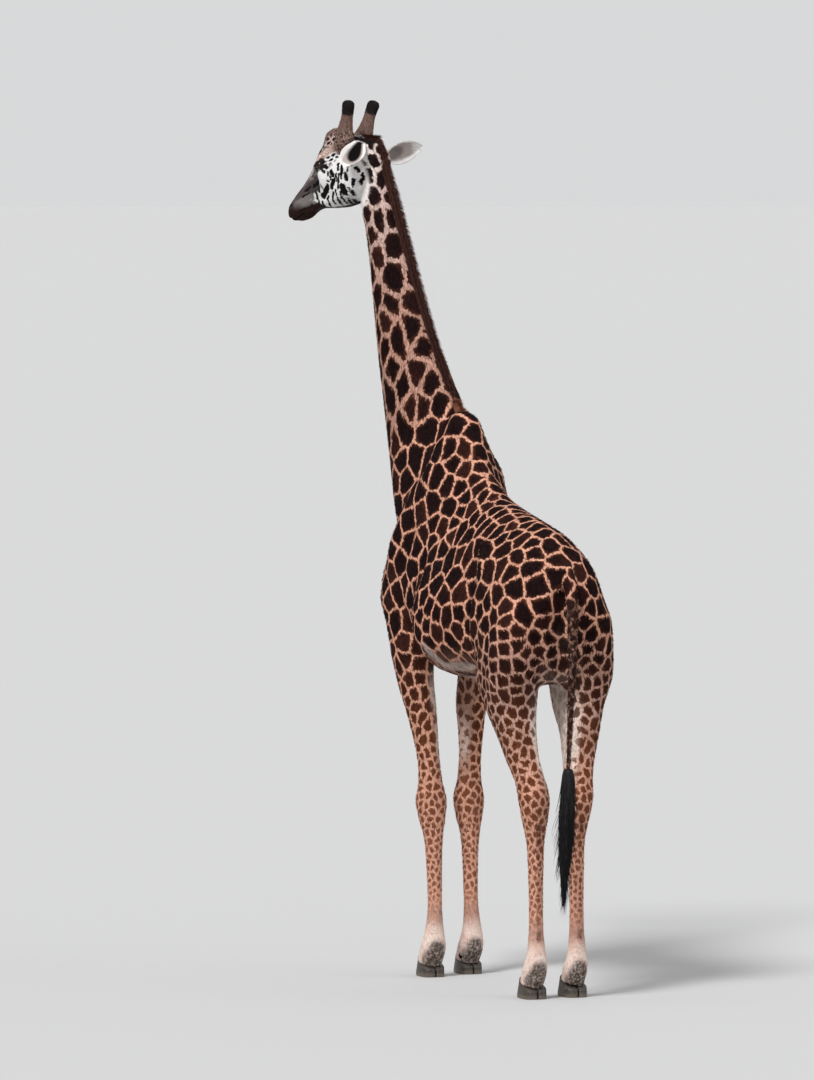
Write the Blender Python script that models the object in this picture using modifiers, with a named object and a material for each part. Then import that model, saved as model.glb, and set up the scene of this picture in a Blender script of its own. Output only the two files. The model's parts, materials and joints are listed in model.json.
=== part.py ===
"""A Masai giraffe standing still, life size, as a museum model.

The animal faces -Y, its left side is +X and +Z is up. The body is lofted from
named stations, blended into one skin, then parted by thin cuts into head, neck,
trunk and legs. Eyes, ears, ossicones, mane, tail, tail tuft and hoof claws are
pieces of their own.
"""

import math

import bmesh
import bpy
import numpy as np
from mathutils import Matrix, Vector

# ---------------------------------------------------------------- driving sizes
# Heights above the ground, and distances forward of the middle of the stance.
WITHERS_Z = 2.84
CROUP_Z = 2.33
ELBOW_Z = 1.66
KNEE_Z = 0.90
STIFLE_Z = 1.50
HOCK_Z = 0.97
FETLOCK_Z = 0.165
FRONT_FOOT = 0.69
HIND_FOOT = -0.69
RUMP_END = -0.80
CHEST_END = 1.10
FRONT_TRACK = 0.122
HIND_TRACK = 0.114

HEAD_TURN = math.radians(33.5)
HEAD_DROP = math.radians(30.0)
HEAD_PLACE = (1.550, 0.094, 4.150)
NECK_TWIST = math.radians(26.0)

# How far each foot stands ahead of the usual place.
FORELEG_STEP = {"left": 0.0, "right": 0.10}
HINDLEG_STEP = {"left": 0.0, "right": 0.03}

EYE_PLACE = (0.282, 0.090, 0.126)
EYE_RADIUS = 0.027

# The ears' roots and the ways they turn are in the head's frame: along the head,
# to its left, towards its crown.
EAR_BASE = {"left": (0.012, 0.072, 0.112), "right": (0.014, 0.078, 0.012)}
EAR_LENGTH = 0.225
EAR_BACK = {"left": math.radians(10.0), "right": math.radians(33.0)}
EAR_UP = {"left": math.radians(-38.0), "right": math.radians(1.0)}
EAR_OPENS = {"left": (-0.76, 0.20, 0.62), "right": (-0.25, 0.74, -0.60)}

OSSICONE_BASE = (0.092, 0.080, 0.168)
OSSICONE_TIP = (-0.054, 0.112, 0.314)

MANE_HEIGHT = 0.038
MANE_HALF_WIDTH = 0.020
# The foot of the mane, on the withers: forward, height, and how far back it leans.
MANE_ON_WITHERS = ((0.600, 2.866, 0.3), (0.652, 2.880, 0.6), (0.706, 2.914, 1.0))
# The top of the mane, on the head: along it, height, and how far back it leans.
MANE_ON_POLL = ((-0.044, 0.088, 1.5), (-0.010, 0.118, 0.9), (0.026, 0.148, 0.6))

HOOF_LENGTH = 0.215
CLAW_WIDTH = 0.056
CLEFT = 0.008
CORONET_Z = 0.078
CORONET_SLOPE = 0.34

GAP = 0.0003
CLEARANCE = 0.0012
REMESH = 0.014
# Rounds of smoothing: over the whole body, then more over the trunk alone, then
# more again where the neck runs into the withers.
SOFTEN = 5
SOFTEN_TRUNK = 22
# Where the neck runs into the withers: forward, height, radius and rounds.
NECK_ROOT = (0.84, 2.74, 0.34)
SOFTEN_ROOT = 60
BODY_TRIANGLES = 4150
SIDES = {"left": 1.0, "right": -1.0}

HIDE = (0.42, 0.24, 0.14)
MANE_BROWN = (0.16, 0.06, 0.035)
HAIR_BLACK = (0.012, 0.011, 0.013)
HOOF_GREY = (0.10, 0.085, 0.075)
EYE_BROWN = (0.012, 0.008, 0.006)
EAR_PALE = (0.62, 0.52, 0.47)


# ------------------------------------------------------------------ body frame
def place(forward, left, height):
    """A point of the body frame as world coordinates."""
    return Vector((left, -forward, height))


# Each station: forward, left, height, half depth in front, half depth behind,
# half width, taper. Taper narrows the section towards its front side.
def foreleg_stations(side):
    foot = FRONT_FOOT + FORELEG_STEP[side]
    body = FRONT_FOOT + 0.4 * FORELEG_STEP[side]
    track = FRONT_TRACK
    return (
        (body + 0.02, track + 0.000, 2.56, 0.07, 0.08, 0.030, 0.0),
        (body + 0.05, track + 0.025, 2.44, 0.15, 0.17, 0.080, 0.1),
        (body + 0.13, track + 0.050, 2.18, 0.20, 0.22, 0.118, 0.1),
        (body + 0.19, track + 0.060, 1.92, 0.18, 0.20, 0.128, 0.1),
        (body + 0.17, track + 0.060, ELBOW_Z + 0.04, 0.150, 0.185, 0.114, 0.1),
        (body + 0.145, track + 0.052, ELBOW_Z - 0.14, 0.112, 0.140, 0.096, 0.1),
        (foot + 0.100, track + 0.036, 1.38, 0.086, 0.104, 0.084, 0.0),
        (foot + 0.070, track + 0.022, 1.24, 0.072, 0.082, 0.070, 0.0),
        (foot + 0.050, track + 0.010, 1.10, 0.064, 0.068, 0.062, 0.0),
        (foot + 0.042, track + 0.003, KNEE_Z + 0.09, 0.066, 0.064, 0.068, 0.0),
        (foot + 0.040, track, KNEE_Z, 0.080, 0.074, 0.086, 0.0),
        (foot + 0.030, track - 0.002, KNEE_Z - 0.10, 0.066, 0.068, 0.074, 0.0),
        (foot + 0.016, track - 0.003, 0.70, 0.050, 0.054, 0.054, 0.0),
        (foot + 0.006, track - 0.005, 0.50, 0.042, 0.048, 0.044, 0.0),
        (foot - 0.002, track - 0.004, 0.34, 0.041, 0.046, 0.042, 0.0),
        (foot - 0.004, track, FETLOCK_Z + 0.065, 0.048, 0.056, 0.054, 0.0),
        (foot + 0.006, track, FETLOCK_Z - 0.005, 0.060, 0.068, 0.067, 0.0),
        (foot + 0.045, track, 0.100, 0.062, 0.070, 0.066, 0.0),
        (foot + 0.070, track, 0.050, 0.070, 0.072, 0.060, 0.0),
        (foot + 0.080, track, 0.020, 0.072, 0.072, 0.056, 0.0),
    )


def hindleg_stations(side):
    foot = HIND_FOOT + HINDLEG_STEP[side]
    body = HIND_FOOT + 0.3 * HINDLEG_STEP[side]
    track = HIND_TRACK
    return (
        (body + 0.20, track - 0.020, 2.18, 0.08, 0.08, 0.030, 0.0),
        (body + 0.19, track + 0.020, 2.08, 0.19, 0.17, 0.085, 0.0),
        (body + 0.17, track + 0.066, 1.88, 0.26, 0.24, 0.136, 0.0),
        (body + 0.19, track + 0.078, STIFLE_Z + 0.14, 0.26, 0.240, 0.144, 0.10),
        (body + 0.175, track + 0.068, STIFLE_Z - 0.02, 0.205, 0.185, 0.130, 0.10),
        (body + 0.130, track + 0.056, STIFLE_Z - 0.17, 0.140, 0.130, 0.102, 0.10),
        (foot + 0.085, track + 0.040, HOCK_Z + 0.22, 0.092, 0.104, 0.084, 0.10),
        (foot + 0.048, track + 0.022, HOCK_Z + 0.12, 0.078, 0.100, 0.076, 0.15),
        (foot + 0.026, track + 0.008, HOCK_Z + 0.02, 0.080, 0.112, 0.080, 0.20),
        (foot + 0.018, track + 0.002, HOCK_Z - 0.08, 0.068, 0.086, 0.070, 0.10),
        (foot + 0.008, track, HOCK_Z - 0.20, 0.050, 0.056, 0.050, 0.0),
        (foot + 0.002, track, 0.58, 0.043, 0.048, 0.043, 0.0),
        (foot - 0.002, track, 0.36, 0.041, 0.045, 0.041, 0.0),
        (foot - 0.004, track, FETLOCK_Z + 0.065, 0.046, 0.054, 0.050, 0.0),
        (foot + 0.006, track, FETLOCK_Z - 0.005, 0.058, 0.066, 0.063, 0.0),
        (foot + 0.042, track, 0.100, 0.060, 0.068, 0.062, 0.0),
        (foot + 0.068, track, 0.050, 0.068, 0.070, 0.057, 0.0),
        (foot + 0.078, track, 0.020, 0.070, 0.070, 0.053, 0.0),
    )


# Trunk: the section's front side is its top, so taper narrows the back.
TRUNK = (
    (RUMP_END, 0.0, 1.96, 0.12, 0.16, 0.090, 0.0),
    (RUMP_END + 0.05, 0.0, 1.92, 0.27, 0.28, 0.190, 0.05),
    (RUMP_END + 0.16, 0.0, 1.86, 0.41, 0.31, 0.285, 0.10),
    (-0.50, 0.0, 1.85, CROUP_Z - 1.85, 0.30, 0.332, 0.14),
    (-0.32, 0.0, 1.90, CROUP_Z + 0.04 - 1.90, 0.34, 0.318, 0.14),
    (-0.12, 0.0, 1.95, 0.460, 0.405, 0.320, 0.18),
    (0.10, 0.0, 1.98, 0.500, 0.445, 0.335, 0.46),
    (0.30, 0.0, 2.02, 0.600, 0.490, 0.328, 0.70),
    (0.46, 0.0, 2.07, 0.730, 0.515, 0.306, 0.52),
    (0.60, 0.0, 2.11, WITHERS_Z + 0.01 - 2.11, 0.525, 0.284, 0.24),
    (0.76, 0.0, 2.13, 0.690, 0.500, 0.262, 0.36),
    (0.92, 0.0, 2.13, 0.560, 0.430, 0.225, 0.30),
    (1.03, 0.0, 2.11, 0.400, 0.330, 0.170, 0.1),
    (CHEST_END, 0.0, 2.10, 0.20, 0.18, 0.090, 0.0),
)

# Neck: from inside the chest to the poll. Its front side is the throat.
NECK = (
    (0.70, 0.000, 2.20, 0.36, 0.36, 0.215, -0.2),
    (0.87, 0.006, 2.42, 0.33, 0.38, 0.208, -0.2),
    (1.00, 0.014, 2.66, 0.275, 0.34, 0.188, -0.2),
    (1.11, 0.030, 2.92, 0.235, 0.275, 0.166, -0.2),
    (1.21, 0.050, 3.15, 0.198, 0.215, 0.142, -0.2),
    (1.31, 0.066, 3.40, 0.163, 0.165, 0.120, -0.2),
    (1.405, 0.083, 3.66, 0.132, 0.124, 0.102, -0.2),
    (1.482, 0.098, 3.88, 0.116, 0.094, 0.092, -0.2),
    (1.532, 0.106, 4.04, 0.106, 0.066, 0.079, -0.1),
    (1.560, 0.106, 4.13, 0.060, 0.040, 0.045, 0.0),
)

# Head, in its own frame: along the head from the poll, height of the centre line,
# half height above, half height below, half width, taper towards the top.
HEAD = (
    (-0.060, 0.015, 0.045, 0.055, 0.030, 0.0),
    (-0.036, 0.018, 0.072, 0.100, 0.047, 0.0),
    (0.020, 0.025, 0.122, 0.150, 0.073, 0.05),
    (0.090, 0.045, 0.170, 0.180, 0.104, 0.06),
    (0.160, 0.050, 0.196, 0.188, 0.118, 0.12),
    (0.225, 0.048, 0.190, 0.182, 0.114, 0.14),
    (0.290, 0.044, 0.164, 0.162, 0.100, 0.08),
    (0.360, 0.042, 0.130, 0.128, 0.079, 0.0),
    (0.440, 0.040, 0.092, 0.086, 0.063, -0.05),
    (0.505, 0.032, 0.076, 0.078, 0.059, -0.1),
    (0.560, 0.028, 0.062, 0.063, 0.059, -0.05),
    (0.605, 0.026, 0.046, 0.046, 0.049, 0.0),
    (0.632, 0.022, 0.028, 0.028, 0.030, 0.0),
)

TAIL = (
    (RUMP_END + 0.14, 0.000, 2.120, 0.044, 0.044, 0.044, 0.0),
    (RUMP_END + 0.03, 0.000, 2.130, 0.040, 0.040, 0.042, 0.0),
    (RUMP_END - 0.05, 0.000, 2.060, 0.034, 0.036, 0.036, 0.0),
    (RUMP_END - 0.09, 0.000, 1.930, 0.029, 0.029, 0.031, 0.0),
    (RUMP_END - 0.10, 0.004, 1.700, 0.024, 0.024, 0.026, 0.0),
    (RUMP_END - 0.09, 0.010, 1.450, 0.018, 0.018, 0.020, 0.0),
    (RUMP_END - 0.08, 0.014, 1.240, 0.015, 0.015, 0.016, 0.0),
    (RUMP_END - 0.075, 0.016, 1.140, 0.013, 0.013, 0.014, 0.0),
)
TAIL_TUFT = (
    (RUMP_END - 0.075, 0.016, 1.140 - GAP, 0.014, 0.014, 0.015, 0.0),
    (RUMP_END - 0.072, 0.017, 1.090, 0.030, 0.030, 0.036, 0.0),
    (RUMP_END - 0.068, 0.018, 0.980, 0.042, 0.042, 0.052, 0.0),
    (RUMP_END - 0.062, 0.022, 0.840, 0.042, 0.042, 0.052, 0.0),
    (RUMP_END - 0.056, 0.026, 0.700, 0.030, 0.030, 0.036, 0.0),
    (RUMP_END - 0.052, 0.030, 0.560, 0.017, 0.017, 0.020, 0.0),
    (RUMP_END - 0.050, 0.032, 0.380, 0.007, 0.007, 0.008, 0.0),
)

# Ear: share of its length, half width, depth of the cup, thickness.
EAR = (
    (0.00, 0.028, 0.032, 0.034),
    (0.12, 0.040, 0.044, 0.030),
    (0.28, 0.056, 0.054, 0.015),
    (0.46, 0.062, 0.052, 0.009),
    (0.64, 0.056, 0.041, 0.007),
    (0.82, 0.039, 0.022, 0.006),
    (0.94, 0.019, 0.009, 0.005),
    (1.00, 0.006, 0.003, 0.003),
)

# Ossicone: share of its length, radius.
OSSICONE = (
    (-0.36, 0.014),
    (-0.28, 0.030),
    (-0.16, 0.044),
    (-0.02, 0.052),
    (0.12, 0.050),
    (0.30, 0.041),
    (0.55, 0.033),
    (0.78, 0.033),
    (0.90, 0.034),
    (0.97, 0.027),
    (1.00, 0.012),
)

# Claw, seen from above: share of the hoof's length, share of the claw's width
# reached by its outer wall. The inner wall lies along the cleft.
CLAW = (
    (0.00, 0.30),
    (0.04, 0.72),
    (0.16, 0.97),
    (0.40, 1.00),
    (0.64, 0.90),
    (0.84, 0.66),
    (0.96, 0.34),
    (1.00, 0.12),
)


# ------------------------------------------------------------------- lofting
def spaced(rows, per_span):
    """Catmull-Rom rows between the given ones."""
    rows = np.array(rows, float)
    ahead = np.vstack([2 * rows[0] - rows[1], rows, 2 * rows[-1] - rows[-2]])
    out = []
    for i in range(len(rows) - 1):
        p0, p1, p2, p3 = ahead[i : i + 4]
        for t in np.arange(per_span) / per_span:
            out.append(
                p1
                + 0.5 * t * (p2 - p0)
                + t * t * (p0 - 2.5 * p1 + 2 * p2 - 0.5 * p3)
                + t**3 * (1.5 * (p1 - p2) + 0.5 * (p3 - p0))
            )
    out.append(rows[-1])
    return np.array(out)


def section(front, behind, half_width, taper, sides):
    """(depth, width) points round a section: an egg with unlike front and back."""
    points = []
    for k in range(sides):
        angle = 2 * math.pi * k / sides
        depth = math.sin(angle)
        width = math.cos(angle) * (1 - taper * depth)
        points.append((depth * (front if depth > 0 else behind), width * half_width))
    return points


def skin_tube(rings):
    """A closed bmesh through rings of points, with a fan at each end."""
    bm = bmesh.new()
    loops = [[bm.verts.new(p) for p in ring] for ring in rings]
    count = len(loops[0])
    for low, high in zip(loops, loops[1:]):
        for k in range(count):
            n = (k + 1) % count
            bm.faces.new((low[k], low[n], high[n], high[k]))
    for loop in (loops[0], loops[-1]):
        centre = bm.verts.new(sum((v.co for v in loop), Vector()) / count)
        for k in range(count):
            bm.faces.new((loop[k], loop[(k + 1) % count], centre))
    bmesh.ops.recalc_face_normals(bm, faces=bm.faces)
    return bm


def tube_rings(stations, facing, sides, per_span, twist=0.0, heading=None):
    """Rings along the stations. facing gives the side that a section calls front;
    twist turns it about the vertical, from none at the start to all at the end;
    heading holds every section square to one direction."""
    rows = spaced(stations, per_span)
    centres = [place(*row[:3]) for row in rows]
    rings = []
    for i, row in enumerate(rows):
        path = centres[min(i + 1, len(rows) - 1)] - centres[max(i - 1, 0)]
        along = heading or path.normalized()
        turn = Matrix.Rotation(twist * i / (len(rows) - 1), 3, "Z")
        depth_axis = turn @ facing
        depth_axis = (depth_axis - depth_axis.dot(along) * along).normalized()
        width_axis = along.cross(depth_axis)
        rings.append(
            [
                centres[i] + depth_axis * d + width_axis * w
                for d, w in section(*row[3:7], sides)
            ]
        )
    return rings


FORWARD = place(1, 0, 0)
UP = place(0, 0, 1)


def mirrored(stations, sign):
    return tuple((s[0], s[1] * sign, *s[2:]) for s in stations)


def head_frame():
    """World matrix of the head: x along it, y to its left, z to its crown."""
    turn = Matrix.Rotation(HEAD_TURN, 4, "Z")
    ahead = turn.to_3x3() @ FORWARD
    left = turn.to_3x3() @ place(0, 1, 0)
    nose = ahead * math.cos(HEAD_DROP) - UP * math.sin(HEAD_DROP)
    crown = nose.cross(left)
    frame = Matrix((nose, left, crown)).transposed().to_4x4()
    frame.translation = place(*HEAD_PLACE)
    return frame


HEAD_FRAME = head_frame()


def head_rings(sides, per_span):
    rings = []
    for row in spaced(HEAD, per_span):
        along, centre, above, below, half_width, taper = row
        rings.append(
            [
                HEAD_FRAME @ Vector((along, w, centre + d))
                for d, w in section(above, below, half_width, taper, sides)
            ]
        )
    return rings


# ------------------------------------------------------------------ modelling
# Soft strokes that press muscle, bone and hollow into the blended body:
# name, start, end, radius, height. Those off the middle are on both sides.
BODY_STROKES = (
    ("point of hip", (-0.28, 0.215, 2.22), (-0.34, 0.235, 2.15), 0.055, 0.040),
    ("croup ridge", (-0.72, 0.0, 2.26), (-0.30, 0.0, 2.37), 0.045, 0.012),
    ("flank hollow", (-0.17, 0.31, 2.08), (-0.20, 0.31, 1.84), 0.090, -0.035),
    ("shoulder blade", (0.58, 0.17, 2.56), (0.84, 0.26, 2.14), 0.080, 0.022),
    ("point of shoulder", (1.00, 0.22, 2.02), (0.98, 0.24, 1.92), 0.085, 0.030),
    ("behind shoulder", (0.46, 0.30, 2.20), (0.56, 0.30, 1.85), 0.080, -0.020),
    ("elbow", (0.66, 0.24, 1.68), (0.64, 0.24, 1.64), 0.055, 0.020),
    ("breast furrow", (1.12, 0.0, 2.16), (1.06, 0.0, 1.76), 0.050, -0.025),
    ("thigh muscle", (-0.70, 0.22, 1.84), (-0.68, 0.25, 1.56), 0.110, 0.020),
    ("thigh furrow", (-0.56, 0.33, 1.90), (-0.50, 0.31, 1.50), 0.045, -0.010),
    ("seat bone", (-0.80, 0.10, 1.98), (-0.79, 0.12, 1.92), 0.060, 0.020),
    ("stifle", (-0.28, 0.24, 1.58), (-0.30, 0.24, 1.54), 0.080, 0.020),
    ("gaskin", (-0.62, 0.20, 1.36), (-0.60, 0.17, 1.20), 0.050, 0.012),
    ("rump cleft", (-0.83, 0.0, 1.98), (-0.80, 0.0, 1.60), 0.050, -0.035),
    ("shoulder furrow", (0.44, 0.31, 2.14), (0.34, 0.30, 1.66), 0.032, -0.018),
    ("shoulder mass", (0.64, 0.27, 2.06), (0.60, 0.26, 1.78), 0.095, 0.014),
    ("thigh front", (-0.40, 0.31, 2.16), (-0.31, 0.32, 1.72), 0.050, 0.014),
    ("thigh front furrow", (-0.23, 0.32, 2.10), (-0.21, 0.31, 1.70), 0.040, -0.016),
    ("withers root", (0.79, 0.0, 2.95), (0.56, 0.0, 2.83), 0.090, 0.040),
    ("neck vein", (1.16, 0.16, 2.82), (1.50, 0.18, 3.80), 0.035, -0.008),
    ("neck muscle", (1.02, 0.17, 3.05), (1.34, 0.17, 3.78), 0.045, 0.006),
)
# In the head's frame.
HEAD_STROKES = (
    ("orbit", (0.255, 0.080, 0.130), (0.300, 0.080, 0.118), 0.045, 0.026),
    ("brow", (0.225, 0.075, 0.165), (0.290, 0.080, 0.158), 0.026, 0.012),
    ("cheek", (0.170, 0.105, -0.040), (0.240, 0.105, -0.045), 0.060, 0.010),
    ("face hollow", (0.360, 0.085, 0.090), (0.450, 0.065, 0.070), 0.032, -0.009),
    ("jaw hollow", (0.330, 0.080, -0.020), (0.420, 0.062, -0.010), 0.030, -0.008),
    ("forehead horn", (0.140, 0.0, 0.250), (0.190, 0.0, 0.238), 0.048, 0.040),
    ("forehead", (0.200, 0.0, 0.235), (0.285, 0.0, 0.200), 0.050, 0.012),
    ("nostril rim", (0.560, 0.050, 0.060), (0.595, 0.045, 0.046), 0.020, 0.006),
    ("temple", (0.070, 0.105, 0.080), (0.130, 0.110, 0.100), 0.040, -0.008),
    ("bridge of nose", (0.290, 0.0, 0.205), (0.540, 0.0, 0.096), 0.030, 0.006),
    ("lower lip", (0.530, 0.0, -0.050), (0.575, 0.0, -0.036), 0.022, 0.004),
)


def both_sides(strokes):
    """Each stroke as (start, end, radius, height), mirrored where it is off the middle."""
    for _, start, end, radius, height in strokes:
        yield start, end, radius, height
        if start[1] > 0.001:
            yield (start[0], -start[1], start[2]), (end[0], -end[1], end[2]), radius, height


def world_strokes():
    for start, end, radius, height in both_sides(BODY_STROKES):
        yield place(*start), place(*end), radius, height
    for start, end, radius, height in both_sides(HEAD_STROKES):
        yield HEAD_FRAME @ Vector(start), HEAD_FRAME @ Vector(end), radius, height


def mesh_arrays(mesh):
    """Points and normals of a mesh's vertices, as rows."""
    found = []
    for name in ("co", "normal"):
        row = np.empty(len(mesh.vertices) * 3)
        mesh.vertices.foreach_get(name, row)
        found.append(row.reshape(-1, 3))
    return found


def press(mesh):
    """Moves each vertex along its normal by every stroke near it."""
    points, normals = mesh_arrays(mesh)
    lift = np.zeros(len(points))
    for start, end, radius, height in world_strokes():
        start, end = np.array(start), np.array(end)
        line = end - start
        share = np.clip((points - start) @ line / (line @ line), 0, 1)
        away = np.linalg.norm(points - start - share[:, None] * line, axis=1)
        lift += height * np.exp(-((away / radius) ** 2))
    mesh.vertices.foreach_set("co", (points + normals * lift[:, None]).ravel())
    mesh.update()


# ------------------------------------------------------------ object helpers
def material(name, colour, roughness):
    made = bpy.data.materials.new(name)
    made.use_nodes = True
    shader = made.node_tree.nodes["Principled BSDF"]
    shader.inputs["Base Color"].default_value = (*colour, 1)
    shader.inputs["Roughness"].default_value = roughness
    shader.inputs["Metallic"].default_value = 0.0
    return made


def collection(name):
    made = bpy.data.collections.new(name)
    bpy.context.scene.collection.children.link(made)
    return made


def add_object(name, mesh, home):
    made = bpy.data.objects.new(name, mesh)
    home.objects.link(made)
    return made


def mesh_of(name, bm):
    mesh = bpy.data.meshes.new(name)
    bm.to_mesh(mesh)
    bm.free()
    return mesh


def evaluated(obj, name):
    """The object's evaluated mesh, as a new mesh of its own."""
    bpy.context.view_layer.update()
    graph = bpy.context.evaluated_depsgraph_get()
    mesh = bpy.data.meshes.new_from_object(obj.evaluated_get(graph))
    mesh.name = name
    return mesh


def solid(name, mesh, home, finish):
    made = add_object(name, mesh, home)
    mesh.materials.clear()
    mesh.materials.append(finish)
    mesh.shade_smooth()
    return made


def helper(name, mesh, home):
    """An object that shapes others and isn't itself a part."""
    made = add_object(name, mesh, home)
    made.hide_render = True
    made.display_type = "WIRE"
    return made


def boolean(obj, other, operation):
    modifier = obj.modifiers.new(other.name, "BOOLEAN")
    modifier.operation = operation
    modifier.solver = "EXACT"
    modifier.object = other


# ----------------------------------------------------------------- the body
def ramp(values, low, high):
    return np.clip((values - low) / (high - low), 0, 1)


def trunk_share(points):
    """1 over the trunk, falling to 0 up the neck and down the legs."""
    forward, height = -points[:, 1], points[:, 2]
    up_the_neck = ramp(height + 0.9 * (forward - 0.8), 2.75, 3.15)
    return ramp(height, 1.45, 1.75) * (1 - up_the_neck)


def root_share(points):
    """1 where the neck runs into the withers, falling to 0 round it."""
    forward, height, radius = NECK_ROOT
    away = np.hypot(-points[:, 1] - forward, points[:, 2] - height)
    return 1 - ramp(away, radius * 0.45, radius * 1.25)


def whole_body(home):
    """The flesh of the animal as one closed mesh."""
    parts = [
        skin_tube(tube_rings(TRUNK, UP, 28, 3, heading=FORWARD)),
        skin_tube(tube_rings(NECK, FORWARD, 24, 4, NECK_TWIST)),
        skin_tube(head_rings(28, 4)),
    ]
    for side, sign in SIDES.items():
        for stations in (foreleg_stations(side), hindleg_stations(side)):
            parts.append(skin_tube(tube_rings(mirrored(stations, sign), FORWARD, 20, 3)))
    joined = bmesh.new()
    for part in parts:
        piece = mesh_of("part", part)
        joined.from_mesh(piece)
        bpy.data.meshes.remove(piece)
    whole = helper("whole", mesh_of("whole", joined), home)
    blend = whole.modifiers.new("Blend", "REMESH")
    blend.mode = "VOXEL"
    blend.voxel_size = REMESH
    blended = evaluated(whole, "blended")
    whole.modifiers.clear()
    whole.data = blended
    points, _ = mesh_arrays(blended)
    for name, weights in (("trunk", trunk_share(points)), ("root", root_share(points))):
        group = whole.vertex_groups.new(name=name)
        for index, weight in enumerate(weights):
            if weight > 0.01:
                group.add([index], weight, "REPLACE")
    for rounds, group in ((SOFTEN, ""), (SOFTEN_TRUNK, "trunk"), (SOFTEN_ROOT, "root")):
        soften = whole.modifiers.new("Soften" + group, "SMOOTH")
        soften.factor = 0.5
        soften.iterations = rounds
        soften.vertex_group = group
    blended = evaluated(whole, "softened")
    whole.modifiers.clear()
    press(blended)
    whole.data = blended
    blended.calc_loop_triangles()
    thin = whole.modifiers.new("Thin", "DECIMATE")
    thin.ratio = BODY_TRIANGLES / len(blended.loop_triangles)
    thinned = evaluated(whole, "thinned")
    whole.modifiers.clear()
    whole.data = thinned
    return whole


def cut(mesh, name, planes):
    """The part of a closed mesh behind every plane, closed with flat caps.
    Each plane is a point and the normal of the side that is taken away."""
    bm = bmesh.new()
    bm.from_mesh(mesh)
    for point, normal in planes:
        normal = Vector(normal).normalized()
        found = bmesh.ops.bisect_plane(
            bm,
            geom=bm.verts[:] + bm.edges[:] + bm.faces[:],
            plane_co=Vector(point) - normal * GAP / 2,
            plane_no=normal,
            clear_outer=True,
        )
        edges = [e for e in found["geom_cut"] if isinstance(e, bmesh.types.BMEdge)]
        bmesh.ops.holes_fill(bm, edges=edges)
    bmesh.ops.triangulate(bm, faces=[f for f in bm.faces if len(f.verts) > 4])
    bmesh.ops.recalc_face_normals(bm, faces=bm.faces)
    return mesh_of(name, bm)


def grown(mesh, name, by):
    """The mesh with its surface moved out along the normals."""
    made = mesh.copy()
    made.name = name
    points, normals = mesh_arrays(made)
    made.vertices.foreach_set("co", (points + normals * by).ravel())
    made.update()
    return made


def prism(name, outline, low, high, home):
    """A block with an outline in (left, height), from one forward value to another."""
    bm = bmesh.new()
    ends = [
        [bm.verts.new(place(forward, left, height)) for left, height in outline]
        for forward in (low, high)
    ]
    count = len(outline)
    for k in range(count):
        n = (k + 1) % count
        bm.faces.new((ends[0][k], ends[0][n], ends[1][n], ends[1][k]))
    bm.faces.new(ends[0])
    bm.faces.new(ends[1])
    bmesh.ops.recalc_face_normals(bm, faces=bm.faces)
    return helper(name, mesh_of(name, bm), home)


# Where a leg is parted from the trunk, seen from the front: inner edge and outer
# edge as (left, height), then the span forward that the cut covers.
FORELEG_CUT = ((0.012, 1.58), (0.50, 1.92), 0.56, 1.30)
HINDLEG_CUT = ((0.012, 1.60), (0.50, 1.98), -1.00, -0.14)


def leg_prism(name, sign, span, grow, home):
    inner, outer, low, high = span
    outline = (
        (sign * (inner[0] - grow), -0.3),
        (sign * (outer[0] + grow), -0.3),
        (sign * (outer[0] + grow), outer[1] + grow),
        (sign * (inner[0] - grow), inner[1] + grow),
    )
    return prism(name, outline, low - grow, high + grow, home)


def coronet_plane(foot):
    """The slope that the hoof grows from: a point and the normal that faces down."""
    return place(foot + 0.075, 0, CORONET_Z), place(CORONET_SLOPE, 0, -1)


def split_body(whole, home, helpers, finish):
    """Head, neck, trunk and legs as pieces with a thin gap between them."""
    poll = HEAD_FRAME @ Vector((-0.080, 0, 0.100))
    throat = HEAD_FRAME @ Vector((0.185, 0, -0.190))
    across = HEAD_FRAME.to_3x3() @ Vector((0, 1, 0))
    to_head = (poll - throat).cross(across)
    if to_head.dot(HEAD_FRAME.to_3x3() @ Vector((1, 0, 0))) < 0:
        to_head.negate()
    to_neck = place(0.6, 0, 0.4)
    base = place(0.74, 0, 2.90)
    head = solid("head", cut(whole.data, "head", [(poll, -to_head)]), home, finish["head"])
    solid(
        "neck",
        cut(whole.data, "neck", [(poll, to_head), (base, -to_neck)]),
        home,
        finish["neck"],
    )
    below = cut(whole.data, "below", [(base, to_neck)])
    trunk = solid("trunk", below.copy(), home, finish["trunk"])
    for side, sign in SIDES.items():
        for kind, span in (("foreleg", FORELEG_CUT), ("hindleg", HINDLEG_CUT)):
            name = f"{kind}_{side}"
            leg = helper(name + "_rough", below.copy(), helpers)
            boolean(leg, leg_prism(name + "_keep", sign, span, 0, helpers), "INTERSECT")
            boolean(trunk, leg_prism(name + "_away", sign, span, GAP, helpers), "DIFFERENCE")
            if kind == "foreleg":
                foot = FRONT_FOOT + FORELEG_STEP[side]
            else:
                foot = HIND_FOOT + HINDLEG_STEP[side]
            rough = evaluated(leg, name)
            leg.modifiers.clear()
            solid(name, cut(rough, name, [coronet_plane(foot)]), home, finish[name])
            add_claws(kind, side, foot, home, finish)
    return head


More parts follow.
